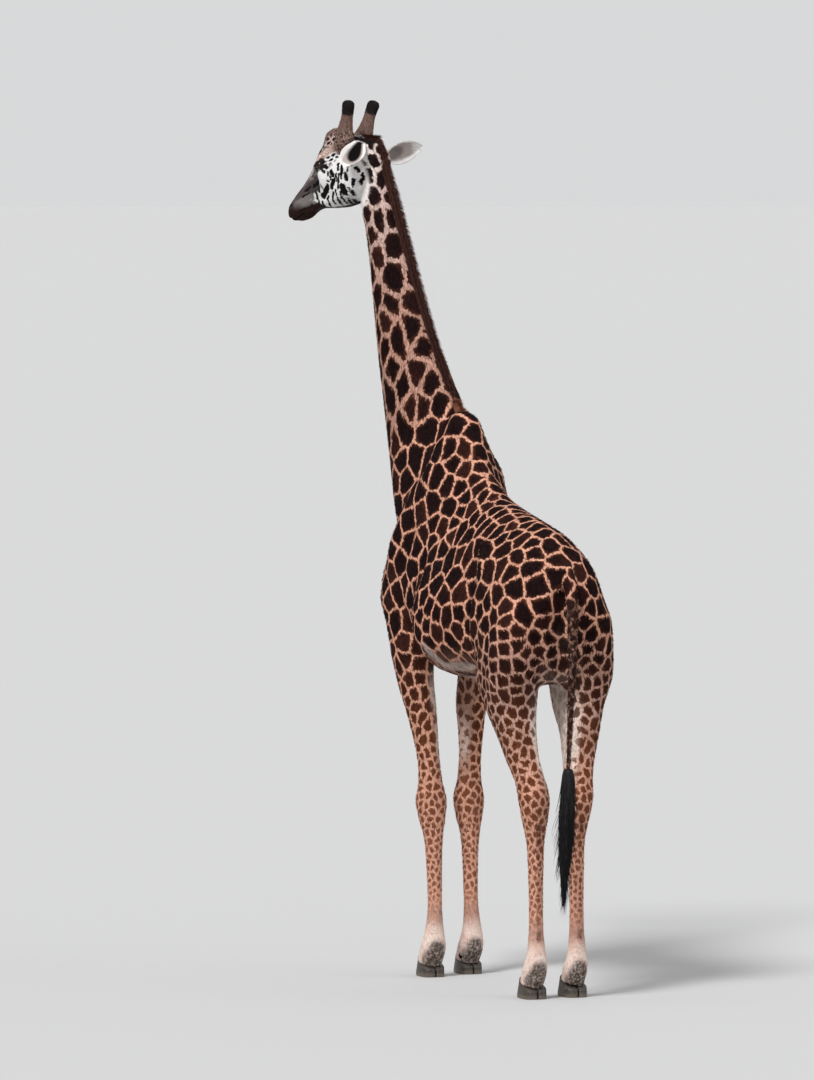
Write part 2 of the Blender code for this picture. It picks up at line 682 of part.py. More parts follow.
# ------------------------------------------------------------- loose pieces
def add_claws(kind, side, foot, home, finish):
    track = (FRONT_TRACK if kind == "foreleg" else HIND_TRACK) * SIDES[side]
    heel = foot - 0.030
    for where, sign in (("inner", -SIDES[side]), ("outer", SIDES[side])):
        name = f"claw_{kind}_{side}_{where}"
        rings = []
        for height, size, back in ((0.0, 0.97, 0.0), (0.008, 1.0, 0.0), (0.16, 0.84, 0.075)):
            ring = []
            for share, width in CLAW:
                forward = heel + HOOF_LENGTH * share * (1 - back * 3.2) + 0.05 * back
                left = track + sign * (CLEFT / 2 + CLAW_WIDTH * size * width)
                ring.append(place(forward, left, height))
            for share, _ in CLAW[::-1]:
                forward = heel + HOOF_LENGTH * share * (1 - back * 3.2) + 0.05 * back
                ring.append(place(forward, track + sign * CLEFT / 2, height))
            rings.append(ring)
        block = mesh_of(name, skin_tube(rings))
        point, normal = coronet_plane(foot)
        solid(name, cut(block, name, [(point, -normal)]), home, finish["hoof"])


def ball(name, centre, radius, home):
    bm = bmesh.new()
    bmesh.ops.create_icosphere(
        bm, subdivisions=3, radius=radius, matrix=Matrix.Translation(centre)
    )
    return helper(name, mesh_of(name, bm), home)


def add_eyes(head, home, helpers, finish):
    for side, sign in SIDES.items():
        along, left, height = EYE_PLACE
        centre = HEAD_FRAME @ Vector((along, left * sign, height))
        eye = ball(f"eye_{side}_shape", centre, EYE_RADIUS, helpers)
        solid(f"eye_{side}", eye.data.copy(), home, finish["eye"])
        socket = ball(f"socket_{side}", centre, EYE_RADIUS + GAP, helpers)
        boolean(head, socket, "DIFFERENCE")


def ear_axes(side):
    """The ear's own directions: along it, across it, and the side it opens to."""
    sign, back, up = SIDES[side], EAR_BACK[side], EAR_UP[side]
    turn = HEAD_FRAME.to_3x3()
    level = turn @ Vector((-math.sin(back), sign * math.cos(back), 0))
    along = (level * math.cos(up) + UP * math.sin(up)).normalized()
    opens = turn @ Vector(EAR_OPENS[side])
    opens = (opens - opens.dot(along) * along).normalized()
    return along, along.cross(opens), opens


def add_ears(body, home, finish):
    for side, sign in SIDES.items():
        ahead, left, height = EAR_BASE[side]
        base = HEAD_FRAME @ Vector((ahead, sign * left, height))
        along, across, opens = ear_axes(side)
        rings = []
        for share, half_width, cup, thick in spaced(EAR, 2):
            centre = base + along * (share * EAR_LENGTH)
            outer = np.linspace(-1, 1, 7)
            inner = np.linspace(0.84, -0.84, 5)
            ring = [centre + across * half_width * u - opens * cup * (1 - u * u) for u in outer]
            ring += [
                centre + across * half_width * u + opens * (thick - cup) * (1 - u * u)
                for u in inner
            ]
            rings.append(ring)
        ear = solid(f"ear_{side}", mesh_of("ear", skin_tube(rings)), home, finish["ear"])
        boolean(ear, body, "DIFFERENCE")


def add_ossicones(body, home, finish):
    for side, sign in SIDES.items():
        base = HEAD_FRAME @ Vector((OSSICONE_BASE[0], sign * OSSICONE_BASE[1], OSSICONE_BASE[2]))
        tip = HEAD_FRAME @ Vector((OSSICONE_TIP[0], sign * OSSICONE_TIP[1], OSSICONE_TIP[2]))
        axis = (tip - base).normalized()
        across = axis.cross(UP).normalized()
        other = axis.cross(across)
        rings = []
        for share, radius in OSSICONE:
            centre = base.lerp(tip, share)
            rings.append(
                [
                    centre
                    + across * radius * math.cos(2 * math.pi * k / 12)
                    + other * radius * math.sin(2 * math.pi * k / 12)
                    for k in range(12)
                ]
            )
        post = solid(f"ossicone_{side}", mesh_of("post", skin_tube(rings)), home, finish["horn"])
        boolean(post, body, "DIFFERENCE")


def mane_rings():
    """Sections of the mane, standing on the neck's rear line from withers to poll."""
    spine = []
    for forward, height, lean in MANE_ON_WITHERS:
        out = place(-lean, 0, 1).normalized()
        spine.append((place(forward, -0.015, height), out, place(0, 1, 0)))
    sections = tube_rings(NECK, FORWARD, 24, 2, NECK_TWIST)
    for ring in sections[5:-3]:
        spine.append((ring[18], (ring[18] - ring[6]).normalized(), (ring[0] - ring[12]).normalized()))
    turn = HEAD_FRAME.to_3x3()
    for along, height, lean in MANE_ON_POLL:
        out = turn @ Vector((-lean, 0, 1)).normalized()
        spine.append((HEAD_FRAME @ Vector((along, 0, height)), out, turn @ Vector((0, 1, 0))))
    rings = []
    last = len(spine) - 1
    for i, (crest, out, across) in enumerate(spine):
        high = MANE_HEIGHT * min(1.0, (i + 1) / 3, (last - i + 2) / 3)
        outline = (
            (-0.030, 1.0),
            (0.45 * high, 0.95),
            (0.85 * high, 0.60),
            (high, 0.20),
            (high, -0.20),
            (0.85 * high, -0.60),
            (0.45 * high, -0.95),
            (-0.030, -1.0),
        )
        rings.append(
            [crest + out * h + across * (w * MANE_HALF_WIDTH) for h, w in outline]
        )
    return rings


def add_hair(body, home, finish):
    mane = solid("mane", mesh_of("mane", skin_tube(mane_rings())), home, finish["mane"])
    boolean(mane, body, "DIFFERENCE")
    tail = skin_tube(tube_rings(TAIL, UP, 8, 2))
    tail = solid("tail", mesh_of("tail", tail), home, finish["tail"])
    boolean(tail, body, "DIFFERENCE")
    tuft = skin_tube(tube_rings(TAIL_TUFT, FORWARD, 10, 2))
    solid("tail_tuft", mesh_of("tail_tuft", tuft), home, finish["tuft"])


def centre_on_origin(home, helpers):
    """Moves everything so that the middle of the parts' bounding box is over the origin."""
    corners = []
    for part in home.objects:
        mesh = evaluated(part, "measured")
        points, _ = mesh_arrays(mesh)
        corners += [points.min(axis=0), points.max(axis=0)]
        bpy.data.meshes.remove(mesh)
    middle = (np.min(corners, axis=0) + np.max(corners, axis=0)) / 2
    for obj in [*home.objects, *helpers.objects]:
        obj.location = (-middle[0], -middle[1], 0)


def main():
    for obj in list(bpy.data.objects):
        bpy.data.objects.remove(obj)
    home = collection("giraffe")
    helpers = collection("cutters")
    finish = {
        name: material(name + " hide", HIDE, 0.8)
        for name in (
            "head",
            "neck",
            "trunk",
            "foreleg_left",
            "foreleg_right",
            "hindleg_left",
            "hindleg_right",
            "tail",
        )
    }
    finish["ear"] = material("ear hide", EAR_PALE, 0.8)
    finish["horn"] = material("ossicone hide", MANE_BROWN, 0.8)
    finish["mane"] = material("mane hair", MANE_BROWN, 0.7)
    finish["tuft"] = material("tail hair", HAIR_BLACK, 0.6)
    finish["hoof"] = material("hoof horn", HOOF_GREY, 0.5)
    finish["eye"] = material("eye", EYE_BROWN, 0.1)
    whole = whole_body(helpers)
    body = helper("body_clearance", grown(whole.data, "body_clearance", CLEARANCE), helpers)
    head = split_body(whole, home, helpers, finish)
    add_eyes(head, home, helpers, finish)
    add_ears(body, home, finish)
    add_ossicones(body, home, finish)
    add_hair(body, home, finish)
    centre_on_origin(home, helpers)


main()
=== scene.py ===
"""A Masai giraffe standing still, life size: skin, coat, mane, tail, face and hooves.

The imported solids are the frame. One skin stands for the head, neck, trunk, legs
and tail of the frame and lies inside them by the depth of the coat, and hair
locks grow on it. The animal faces -Y, its left side is +X and +Z is up.
"""

import json
import math

import bmesh
import bpy
import numpy as np
from bpy.props import FloatProperty, FloatVectorProperty, IntProperty, PointerProperty
from mathutils import Matrix, Vector
from mathutils.kdtree import KDTree

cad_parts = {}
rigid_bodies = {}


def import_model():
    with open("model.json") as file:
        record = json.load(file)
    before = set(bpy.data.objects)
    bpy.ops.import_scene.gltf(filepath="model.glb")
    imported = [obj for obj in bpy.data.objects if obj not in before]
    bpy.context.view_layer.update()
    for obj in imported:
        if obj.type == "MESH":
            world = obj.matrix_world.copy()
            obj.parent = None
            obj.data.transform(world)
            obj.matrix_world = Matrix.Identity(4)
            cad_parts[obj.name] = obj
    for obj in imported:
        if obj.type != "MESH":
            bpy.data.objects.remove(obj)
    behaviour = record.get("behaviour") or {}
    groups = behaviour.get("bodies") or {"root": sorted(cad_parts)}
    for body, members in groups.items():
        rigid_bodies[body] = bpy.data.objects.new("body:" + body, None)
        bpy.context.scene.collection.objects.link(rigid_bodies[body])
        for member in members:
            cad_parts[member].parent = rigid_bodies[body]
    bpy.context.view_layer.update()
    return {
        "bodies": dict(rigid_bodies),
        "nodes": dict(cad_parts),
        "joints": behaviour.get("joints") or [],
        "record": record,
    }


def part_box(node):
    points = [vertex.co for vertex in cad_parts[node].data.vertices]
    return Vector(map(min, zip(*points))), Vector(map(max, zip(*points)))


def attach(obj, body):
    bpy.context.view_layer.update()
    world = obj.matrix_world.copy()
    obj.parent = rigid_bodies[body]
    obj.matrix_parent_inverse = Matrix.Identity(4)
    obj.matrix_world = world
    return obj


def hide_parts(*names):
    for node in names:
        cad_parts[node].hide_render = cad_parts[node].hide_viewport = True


bl_info = {
    "name": "Giraffe",
    "version": (1, 0, 0),
    "blender": (4, 5, 0),
    "location": "3D View > Sidebar > Giraffe",
    "description": "Builds a life-size giraffe on its packed solids",
    "category": "Object",
}

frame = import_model()

# ------------------------------------------------------------------ body sizes
# Heights above the ground, and distances forward of the middle of the stance.

WITHERS_Z = 2.84
CROUP_Z = 2.33
ELBOW_Z = 1.66
KNEE_Z = 0.90
STIFLE_Z = 1.50
HOCK_Z = 0.97
FETLOCK_Z = 0.165
FRONT_FOOT = 0.69
HIND_FOOT = -0.69
RUMP_END = -0.80
CHEST_END = 1.10
FRONT_TRACK = 0.122
HIND_TRACK = 0.114

HEAD_TURN = math.radians(33.5)
HEAD_DROP = math.radians(30.0)
HEAD_PLACE = (1.550, 0.094, 4.150)
NECK_TWIST = math.radians(26.0)

# How far each foot stands ahead of the usual place.
FORELEG_STEP = {"left": 0.0, "right": 0.10}
HINDLEG_STEP = {"left": 0.0, "right": 0.03}

EYE_PLACE = (0.282, 0.090, 0.126)
EYE_RADIUS = 0.027

# The ears' roots and the ways they turn are in the head's frame: along the head,
# to its left, towards its crown.
EAR_BASE = {"left": (0.012, 0.072, 0.112), "right": (0.014, 0.078, 0.012)}
EAR_LENGTH = 0.225
EAR_BACK = {"left": math.radians(10.0), "right": math.radians(33.0)}
EAR_UP = {"left": math.radians(-38.0), "right": math.radians(1.0)}
EAR_OPENS = {"left": (-0.76, 0.20, 0.62), "right": (-0.25, 0.74, -0.60)}

OSSICONE_BASE = (0.092, 0.080, 0.168)
OSSICONE_TIP = (-0.054, 0.112, 0.314)

HOOF_LENGTH = 0.215
CLAW_WIDTH = 0.056
CLEFT = 0.008
CORONET_Z = 0.078
CORONET_SLOPE = 0.34

GAP = 0.0003
SIDES = {"left": 1.0, "right": -1.0}

# ------------------------------------------------------------------ body frame
def place(forward, left, height):
    """A point of the body frame as world coordinates."""
    return Vector((left, -forward, height))


# Each station: forward, left, height, half depth in front, half depth behind,
# half width, taper. Taper narrows the section towards its front side.
def foreleg_stations(side):
    foot = FRONT_FOOT + FORELEG_STEP[side]
    body = FRONT_FOOT + 0.4 * FORELEG_STEP[side]
    track = FRONT_TRACK
    return (
        (body + 0.02, track + 0.000, 2.56, 0.07, 0.08, 0.030, 0.0),
        (body + 0.05, track + 0.025, 2.44, 0.15, 0.17, 0.080, 0.1),
        (body + 0.13, track + 0.050, 2.18, 0.20, 0.22, 0.118, 0.1),
        (body + 0.19, track + 0.060, 1.92, 0.18, 0.20, 0.128, 0.1),
        (body + 0.17, track + 0.060, ELBOW_Z + 0.04, 0.150, 0.185, 0.114, 0.1),
        (body + 0.145, track + 0.052, ELBOW_Z - 0.14, 0.112, 0.140, 0.096, 0.1),
        (foot + 0.100, track + 0.036, 1.38, 0.086, 0.104, 0.084, 0.0),
        (foot + 0.070, track + 0.022, 1.24, 0.072, 0.082, 0.070, 0.0),
        (foot + 0.050, track + 0.010, 1.10, 0.064, 0.068, 0.062, 0.0),
        (foot + 0.042, track + 0.003, KNEE_Z + 0.09, 0.066, 0.064, 0.068, 0.0),
        (foot + 0.040, track, KNEE_Z, 0.080, 0.074, 0.086, 0.0),
        (foot + 0.030, track - 0.002, KNEE_Z - 0.10, 0.066, 0.068, 0.074, 0.0),
        (foot + 0.016, track - 0.003, 0.70, 0.050, 0.054, 0.054, 0.0),
        (foot + 0.006, track - 0.005, 0.50, 0.042, 0.048, 0.044, 0.0),
        (foot - 0.002, track - 0.004, 0.34, 0.041, 0.046, 0.042, 0.0),
        (foot - 0.004, track, FETLOCK_Z + 0.065, 0.048, 0.056, 0.054, 0.0),
        (foot + 0.006, track, FETLOCK_Z - 0.005, 0.060, 0.068, 0.067, 0.0),
        (foot + 0.045, track, 0.100, 0.062, 0.070, 0.066, 0.0),
        (foot + 0.070, track, 0.050, 0.070, 0.072, 0.060, 0.0),
        (foot + 0.080, track, 0.020, 0.072, 0.072, 0.056, 0.0),
    )


def hindleg_stations(side):
    foot = HIND_FOOT + HINDLEG_STEP[side]
    body = HIND_FOOT + 0.3 * HINDLEG_STEP[side]
    track = HIND_TRACK
    return (
        (body + 0.20, track - 0.020, 2.18, 0.08, 0.08, 0.030, 0.0),
        (body + 0.19, track + 0.020, 2.08, 0.19, 0.17, 0.085, 0.0),
        (body + 0.17, track + 0.066, 1.88, 0.26, 0.24, 0.136, 0.0),
        (body + 0.19, track + 0.078, STIFLE_Z + 0.14, 0.26, 0.240, 0.144, 0.10),
        (body + 0.175, track + 0.068, STIFLE_Z - 0.02, 0.205, 0.185, 0.130, 0.10),
        (body + 0.130, track + 0.056, STIFLE_Z - 0.17, 0.140, 0.130, 0.102, 0.10),
        (foot + 0.085, track + 0.040, HOCK_Z + 0.22, 0.092, 0.104, 0.084, 0.10),
        (foot + 0.048, track + 0.022, HOCK_Z + 0.12, 0.078, 0.100, 0.076, 0.15),
        (foot + 0.026, track + 0.008, HOCK_Z + 0.02, 0.080, 0.112, 0.080, 0.20),
        (foot + 0.018, track + 0.002, HOCK_Z - 0.08, 0.068, 0.086, 0.070, 0.10),
        (foot + 0.008, track, HOCK_Z - 0.20, 0.050, 0.056, 0.050, 0.0),
        (foot + 0.002, track, 0.58, 0.043, 0.048, 0.043, 0.0),
        (foot - 0.002, track, 0.36, 0.041, 0.045, 0.041, 0.0),
        (foot - 0.004, track, FETLOCK_Z + 0.065, 0.046, 0.054, 0.050, 0.0),
        (foot + 0.006, track, FETLOCK_Z - 0.005, 0.058, 0.066, 0.063, 0.0),
        (foot + 0.042, track, 0.100, 0.060, 0.068, 0.062, 0.0),
        (foot + 0.068, track, 0.050, 0.068, 0.070, 0.057, 0.0),
        (foot + 0.078, track, 0.020, 0.070, 0.070, 0.053, 0.0),
    )


# Trunk: the section's front side is its top, so taper narrows the back.
TRUNK = (
    (RUMP_END, 0.0, 1.96, 0.12, 0.16, 0.090, 0.0),
    (RUMP_END + 0.05, 0.0, 1.92, 0.27, 0.28, 0.190, 0.05),
    (RUMP_END + 0.16, 0.0, 1.86, 0.41, 0.31, 0.285, 0.10),
    (-0.50, 0.0, 1.85, CROUP_Z - 1.85, 0.30, 0.332, 0.14),
    (-0.32, 0.0, 1.90, CROUP_Z + 0.04 - 1.90, 0.34, 0.318, 0.14),
    (-0.12, 0.0, 1.95, 0.460, 0.405, 0.320, 0.18),
    (0.10, 0.0, 1.98, 0.500, 0.445, 0.335, 0.46),
    (0.30, 0.0, 2.02, 0.600, 0.490, 0.328, 0.70),
    (0.46, 0.0, 2.07, 0.730, 0.515, 0.306, 0.52),
    (0.60, 0.0, 2.11, WITHERS_Z + 0.01 - 2.11, 0.525, 0.284, 0.24),
    (0.76, 0.0, 2.13, 0.690, 0.500, 0.262, 0.36),
    (0.92, 0.0, 2.13, 0.560, 0.430, 0.225, 0.30),
    (1.03, 0.0, 2.11, 0.400, 0.330, 0.170, 0.1),
    (CHEST_END, 0.0, 2.10, 0.20, 0.18, 0.090, 0.0),
)

# Neck: from inside the chest to the poll. Its front side is the throat.
NECK = (
    (0.70, 0.000, 2.20, 0.36, 0.36, 0.215, -0.2),
    (0.87, 0.006, 2.42, 0.33, 0.38, 0.208, -0.2),
    (1.00, 0.014, 2.66, 0.275, 0.34, 0.188, -0.2),
    (1.11, 0.030, 2.92, 0.235, 0.275, 0.166, -0.2),
    (1.21, 0.050, 3.15, 0.198, 0.215, 0.142, -0.2),
    (1.31, 0.066, 3.40, 0.163, 0.165, 0.120, -0.2),
    (1.405, 0.083, 3.66, 0.132, 0.124, 0.102, -0.2),
    (1.482, 0.098, 3.88, 0.116, 0.094, 0.092, -0.2),
    (1.532, 0.106, 4.04, 0.106, 0.066, 0.079, -0.1),
    (1.560, 0.106, 4.13, 0.060, 0.040, 0.045, 0.0),
)

# Head, in its own frame: along the head from the poll, height of the centre line,
# half height above, half height below, half width, taper towards the top.
HEAD = (
    (-0.060, 0.015, 0.045, 0.055, 0.030, 0.0),
    (-0.036, 0.018, 0.072, 0.100, 0.047, 0.0),
    (0.020, 0.025, 0.122, 0.150, 0.073, 0.05),
    (0.090, 0.045, 0.170, 0.180, 0.104, 0.06),
    (0.160, 0.050, 0.196, 0.188, 0.118, 0.12),
    (0.225, 0.048, 0.190, 0.182, 0.114, 0.14),
    (0.290, 0.044, 0.164, 0.162, 0.100, 0.08),
    (0.360, 0.042, 0.130, 0.128, 0.079, 0.0),
    (0.440, 0.040, 0.092, 0.086, 0.063, -0.05),
    (0.505, 0.032, 0.076, 0.078, 0.059, -0.1),
    (0.560, 0.028, 0.062, 0.063, 0.059, -0.05),
    (0.605, 0.026, 0.046, 0.046, 0.049, 0.0),
    (0.632, 0.022, 0.028, 0.028, 0.030, 0.0),
)

TAIL = (
    (RUMP_END + 0.14, 0.000, 2.120, 0.044, 0.044, 0.044, 0.0),
    (RUMP_END + 0.03, 0.000, 2.130, 0.040, 0.040, 0.042, 0.0),
    (RUMP_END - 0.05, 0.000, 2.060, 0.034, 0.036, 0.036, 0.0),
    (RUMP_END - 0.09, 0.000, 1.930, 0.029, 0.029, 0.031, 0.0),
    (RUMP_END - 0.10, 0.004, 1.700, 0.024, 0.024, 0.026, 0.0),
    (RUMP_END - 0.09, 0.010, 1.450, 0.018, 0.018, 0.020, 0.0),
    (RUMP_END - 0.08, 0.014, 1.240, 0.015, 0.015, 0.016, 0.0),
    (RUMP_END - 0.075, 0.016, 1.140, 0.013, 0.013, 0.014, 0.0),
)
TAIL_TUFT = (
    (RUMP_END - 0.075, 0.016, 1.140 - GAP, 0.014, 0.014, 0.015, 0.0),
    (RUMP_END - 0.072, 0.017, 1.090, 0.030, 0.030, 0.036, 0.0),
    (RUMP_END - 0.068, 0.018, 0.980, 0.042, 0.042, 0.052, 0.0),
    (RUMP_END - 0.062, 0.022, 0.840, 0.042, 0.042, 0.052, 0.0),
    (RUMP_END - 0.056, 0.026, 0.700, 0.030, 0.030, 0.036, 0.0),
    (RUMP_END - 0.052, 0.030, 0.560, 0.017, 0.017, 0.020, 0.0),
    (RUMP_END - 0.050, 0.032, 0.380, 0.007, 0.007, 0.008, 0.0),
)

# Ear: share of its length, half width, depth of the cup, thickness.
EAR = (
    (0.00, 0.028, 0.032, 0.034),
    (0.12, 0.040, 0.044, 0.030),
    (0.28, 0.056, 0.054, 0.015),
    (0.46, 0.062, 0.052, 0.009),
    (0.64, 0.056, 0.041, 0.007),
    (0.82, 0.039, 0.022, 0.006),
    (0.94, 0.019, 0.009, 0.005),
    (1.00, 0.006, 0.003, 0.003),
)

# Ossicone: share of its length, radius.
OSSICONE = (
    (-0.36, 0.014),
    (-0.28, 0.030),
    (-0.16, 0.044),
    (-0.02, 0.052),
    (0.12, 0.050),
    (0.30, 0.041),
    (0.55, 0.033),
    (0.78, 0.033),
    (0.90, 0.034),
    (0.97, 0.027),
    (1.00, 0.012),
)

# Claw, seen from above: share of the hoof's length, share of the claw's width
# reached by its outer wall. The inner wall lies along the cleft.
CLAW = (
    (0.00, 0.30),
    (0.04, 0.72),
    (0.16, 0.97),
    (0.40, 1.00),
    (0.64, 0.90),
    (0.84, 0.66),
    (0.96, 0.34),
    (1.00, 0.12),
)


# ------------------------------------------------------------------- lofting
def spaced(rows, per_span):
    """Catmull-Rom rows between the given ones."""
    rows = np.array(rows, float)
    ahead = np.vstack([2 * rows[0] - rows[1], rows, 2 * rows[-1] - rows[-2]])
    out = []
    for i in range(len(rows) - 1):
        p0, p1, p2, p3 = ahead[i : i + 4]
        for t in np.arange(per_span) / per_span:
            out.append(
                p1
                + 0.5 * t * (p2 - p0)
                + t * t * (p0 - 2.5 * p1 + 2 * p2 - 0.5 * p3)
                + t**3 * (1.5 * (p1 - p2) + 0.5 * (p3 - p0))
            )
    out.append(rows[-1])
    return np.array(out)


def section(front, behind, half_width, taper, sides):
    """(depth, width) points round a section: an egg with unlike front and back."""
    points = []
    for k in range(sides):
        angle = 2 * math.pi * k / sides
        depth = math.sin(angle)
        width = math.cos(angle) * (1 - taper * depth)
        points.append((depth * (front if depth > 0 else behind), width * half_width))
    return points


def round_ring(centre, across, other, radius, sides):
    turned = [2 * math.pi * k / sides for k in range(sides)]
    return [centre + (across * math.cos(a) + other * math.sin(a)) * radius for a in turned]


def skin_tube(rings):
    """A closed bmesh through rings of points, with a fan at each end."""
    bm = bmesh.new()
    loops = [[bm.verts.new(p) for p in ring] for ring in rings]
    count = len(loops[0])
    for low, high in zip(loops, loops[1:]):
        for k in range(count):
            n = (k + 1) % count
            bm.faces.new((low[k], low[n], high[n], high[k]))
    for loop in (loops[0], loops[-1]):
        centre = bm.verts.new(sum((v.co for v in loop), Vector()) / count)
        for k in range(count):
            bm.faces.new((loop[k], loop[(k + 1) % count], centre))
    bmesh.ops.recalc_face_normals(bm, faces=bm.faces)
    return bm


def tube_rings(stations, facing, sides, per_span, twist=0.0, heading=None):
    """Rings along the stations. facing gives the side that a section calls front;
    twist turns it about the vertical, from none at the start to all at the end;
    heading holds every section square to one direction."""
    rows = spaced(stations, per_span)
    centres = [place(*row[:3]) for row in rows]
    rings = []
    for i, row in enumerate(rows):
        path = centres[min(i + 1, len(rows) - 1)] - centres[max(i - 1, 0)]
        along = heading or path.normalized()
        turn = Matrix.Rotation(twist * i / (len(rows) - 1), 3, "Z")
        depth_axis = turn @ facing
        depth_axis = (depth_axis - depth_axis.dot(along) * along).normalized()
        width_axis = along.cross(depth_axis)
        rings.append(
            [
                centres[i] + depth_axis * d + width_axis * w
                for d, w in section(*row[3:7], sides)
            ]
        )
    return rings


FORWARD = place(1, 0, 0)
UP = place(0, 0, 1)


def mirrored(stations, sign):
    return tuple((s[0], s[1] * sign, *s[2:]) for s in stations)


def head_frame():
    """World matrix of the head: x along it, y to its left, z to its crown."""
    turn = Matrix.Rotation(HEAD_TURN, 4, "Z")
    ahead = turn.to_3x3() @ FORWARD
    left = turn.to_3x3() @ place(0, 1, 0)
    nose = ahead * math.cos(HEAD_DROP) - UP * math.sin(HEAD_DROP)
    crown = nose.cross(left)
    frame = Matrix((nose, left, crown)).transposed().to_4x4()
    frame.translation = place(*HEAD_PLACE)
    return frame


HEAD_FRAME = head_frame()


def head_rings(sides, per_span):
    rings = []
    for row in spaced(HEAD, per_span):
        along, centre, above, below, half_width, taper = row
        rings.append(
            [
                HEAD_FRAME @ Vector((along, w, centre + d))
                for d, w in section(above, below, half_width, taper, sides)
            ]
        )
    return rings


# ------------------------------------------------------------------ modelling
# Soft strokes that press muscle, bone and hollow into the blended body:
# name, start, end, radius, height. Those off the middle are on both sides.
BODY_STROKES = (
    ("point of hip", (-0.28, 0.215, 2.22), (-0.34, 0.235, 2.15), 0.055, 0.040),
    ("croup ridge", (-0.72, 0.0, 2.26), (-0.30, 0.0, 2.37), 0.045, 0.012),
    ("flank hollow", (-0.17, 0.31, 2.08), (-0.20, 0.31, 1.84), 0.090, -0.035),
    ("shoulder blade", (0.58, 0.17, 2.56), (0.84, 0.26, 2.14), 0.080, 0.022),
    ("point of shoulder", (1.00, 0.22, 2.02), (0.98, 0.24, 1.92), 0.085, 0.030),
    ("behind shoulder", (0.46, 0.30, 2.20), (0.56, 0.30, 1.85), 0.080, -0.020),
    ("elbow", (0.66, 0.24, 1.68), (0.64, 0.24, 1.64), 0.055, 0.020),
    ("breast furrow", (1.12, 0.0, 2.16), (1.06, 0.0, 1.76), 0.050, -0.025),
    ("thigh muscle", (-0.70, 0.22, 1.84), (-0.68, 0.25, 1.56), 0.110, 0.020),
    ("thigh furrow", (-0.56, 0.33, 1.90), (-0.50, 0.31, 1.50), 0.045, -0.010),
    ("seat bone", (-0.80, 0.10, 1.98), (-0.79, 0.12, 1.92), 0.060, 0.020),
    ("stifle", (-0.28, 0.24, 1.58), (-0.30, 0.24, 1.54), 0.080, 0.020),
    ("gaskin", (-0.62, 0.20, 1.36), (-0.60, 0.17, 1.20), 0.050, 0.012),
    ("rump cleft", (-0.83, 0.0, 1.98), (-0.80, 0.0, 1.60), 0.050, -0.035),
    ("shoulder furrow", (0.44, 0.31, 2.14), (0.34, 0.30, 1.66), 0.032, -0.018),
    ("shoulder mass", (0.64, 0.27, 2.06), (0.60, 0.26, 1.78), 0.095, 0.014),
    ("thigh front", (-0.40, 0.31, 2.16), (-0.31, 0.32, 1.72), 0.050, 0.014),
    ("thigh front furrow", (-0.23, 0.32, 2.10), (-0.21, 0.31, 1.70), 0.040, -0.016),
    ("withers root", (0.79, 0.0, 2.95), (0.56, 0.0, 2.83), 0.090, 0.040),
    ("neck vein", (1.16, 0.16, 2.82), (1.50, 0.18, 3.80), 0.035, -0.008),
    ("neck muscle", (1.02, 0.17, 3.05), (1.34, 0.17, 3.78), 0.045, 0.006),
)
# In the head's frame.
HEAD_STROKES = (
    ("orbit", (0.255, 0.080, 0.130), (0.300, 0.080, 0.118), 0.045, 0.026),
    ("brow", (0.225, 0.075, 0.165), (0.290, 0.080, 0.158), 0.026, 0.012),
    ("cheek", (0.170, 0.105, -0.040), (0.240, 0.105, -0.045), 0.060, 0.010),
    ("face hollow", (0.360, 0.085, 0.090), (0.450, 0.065, 0.070), 0.032, -0.009),
    ("jaw hollow", (0.330, 0.080, -0.020), (0.420, 0.062, -0.010), 0.030, -0.008),
    ("forehead horn", (0.140, 0.0, 0.250), (0.190, 0.0, 0.238), 0.048, 0.029),
    ("forehead", (0.200, 0.0, 0.235), (0.285, 0.0, 0.200), 0.050, 0.012),
    ("nostril rim", (0.560, 0.050, 0.060), (0.595, 0.045, 0.046), 0.020, 0.006),
    ("temple", (0.070, 0.105, 0.080), (0.130, 0.110, 0.100), 0.040, -0.008),
    ("bridge of nose", (0.290, 0.0, 0.205), (0.540, 0.0, 0.096), 0.030, 0.006),
    ("lower lip", (0.530, 0.0, -0.050), (0.575, 0.0, -0.036), 0.022, 0.004),
)


def both_sides(strokes):
    """Each stroke as (start, end, radius, height), mirrored where it is off the middle."""
    for _, start, end, radius, height in strokes:
        yield start, end, radius, height
        if start[1] > 0.001:
            yield (start[0], -start[1], start[2]), (end[0], -end[1], end[2]), radius, height


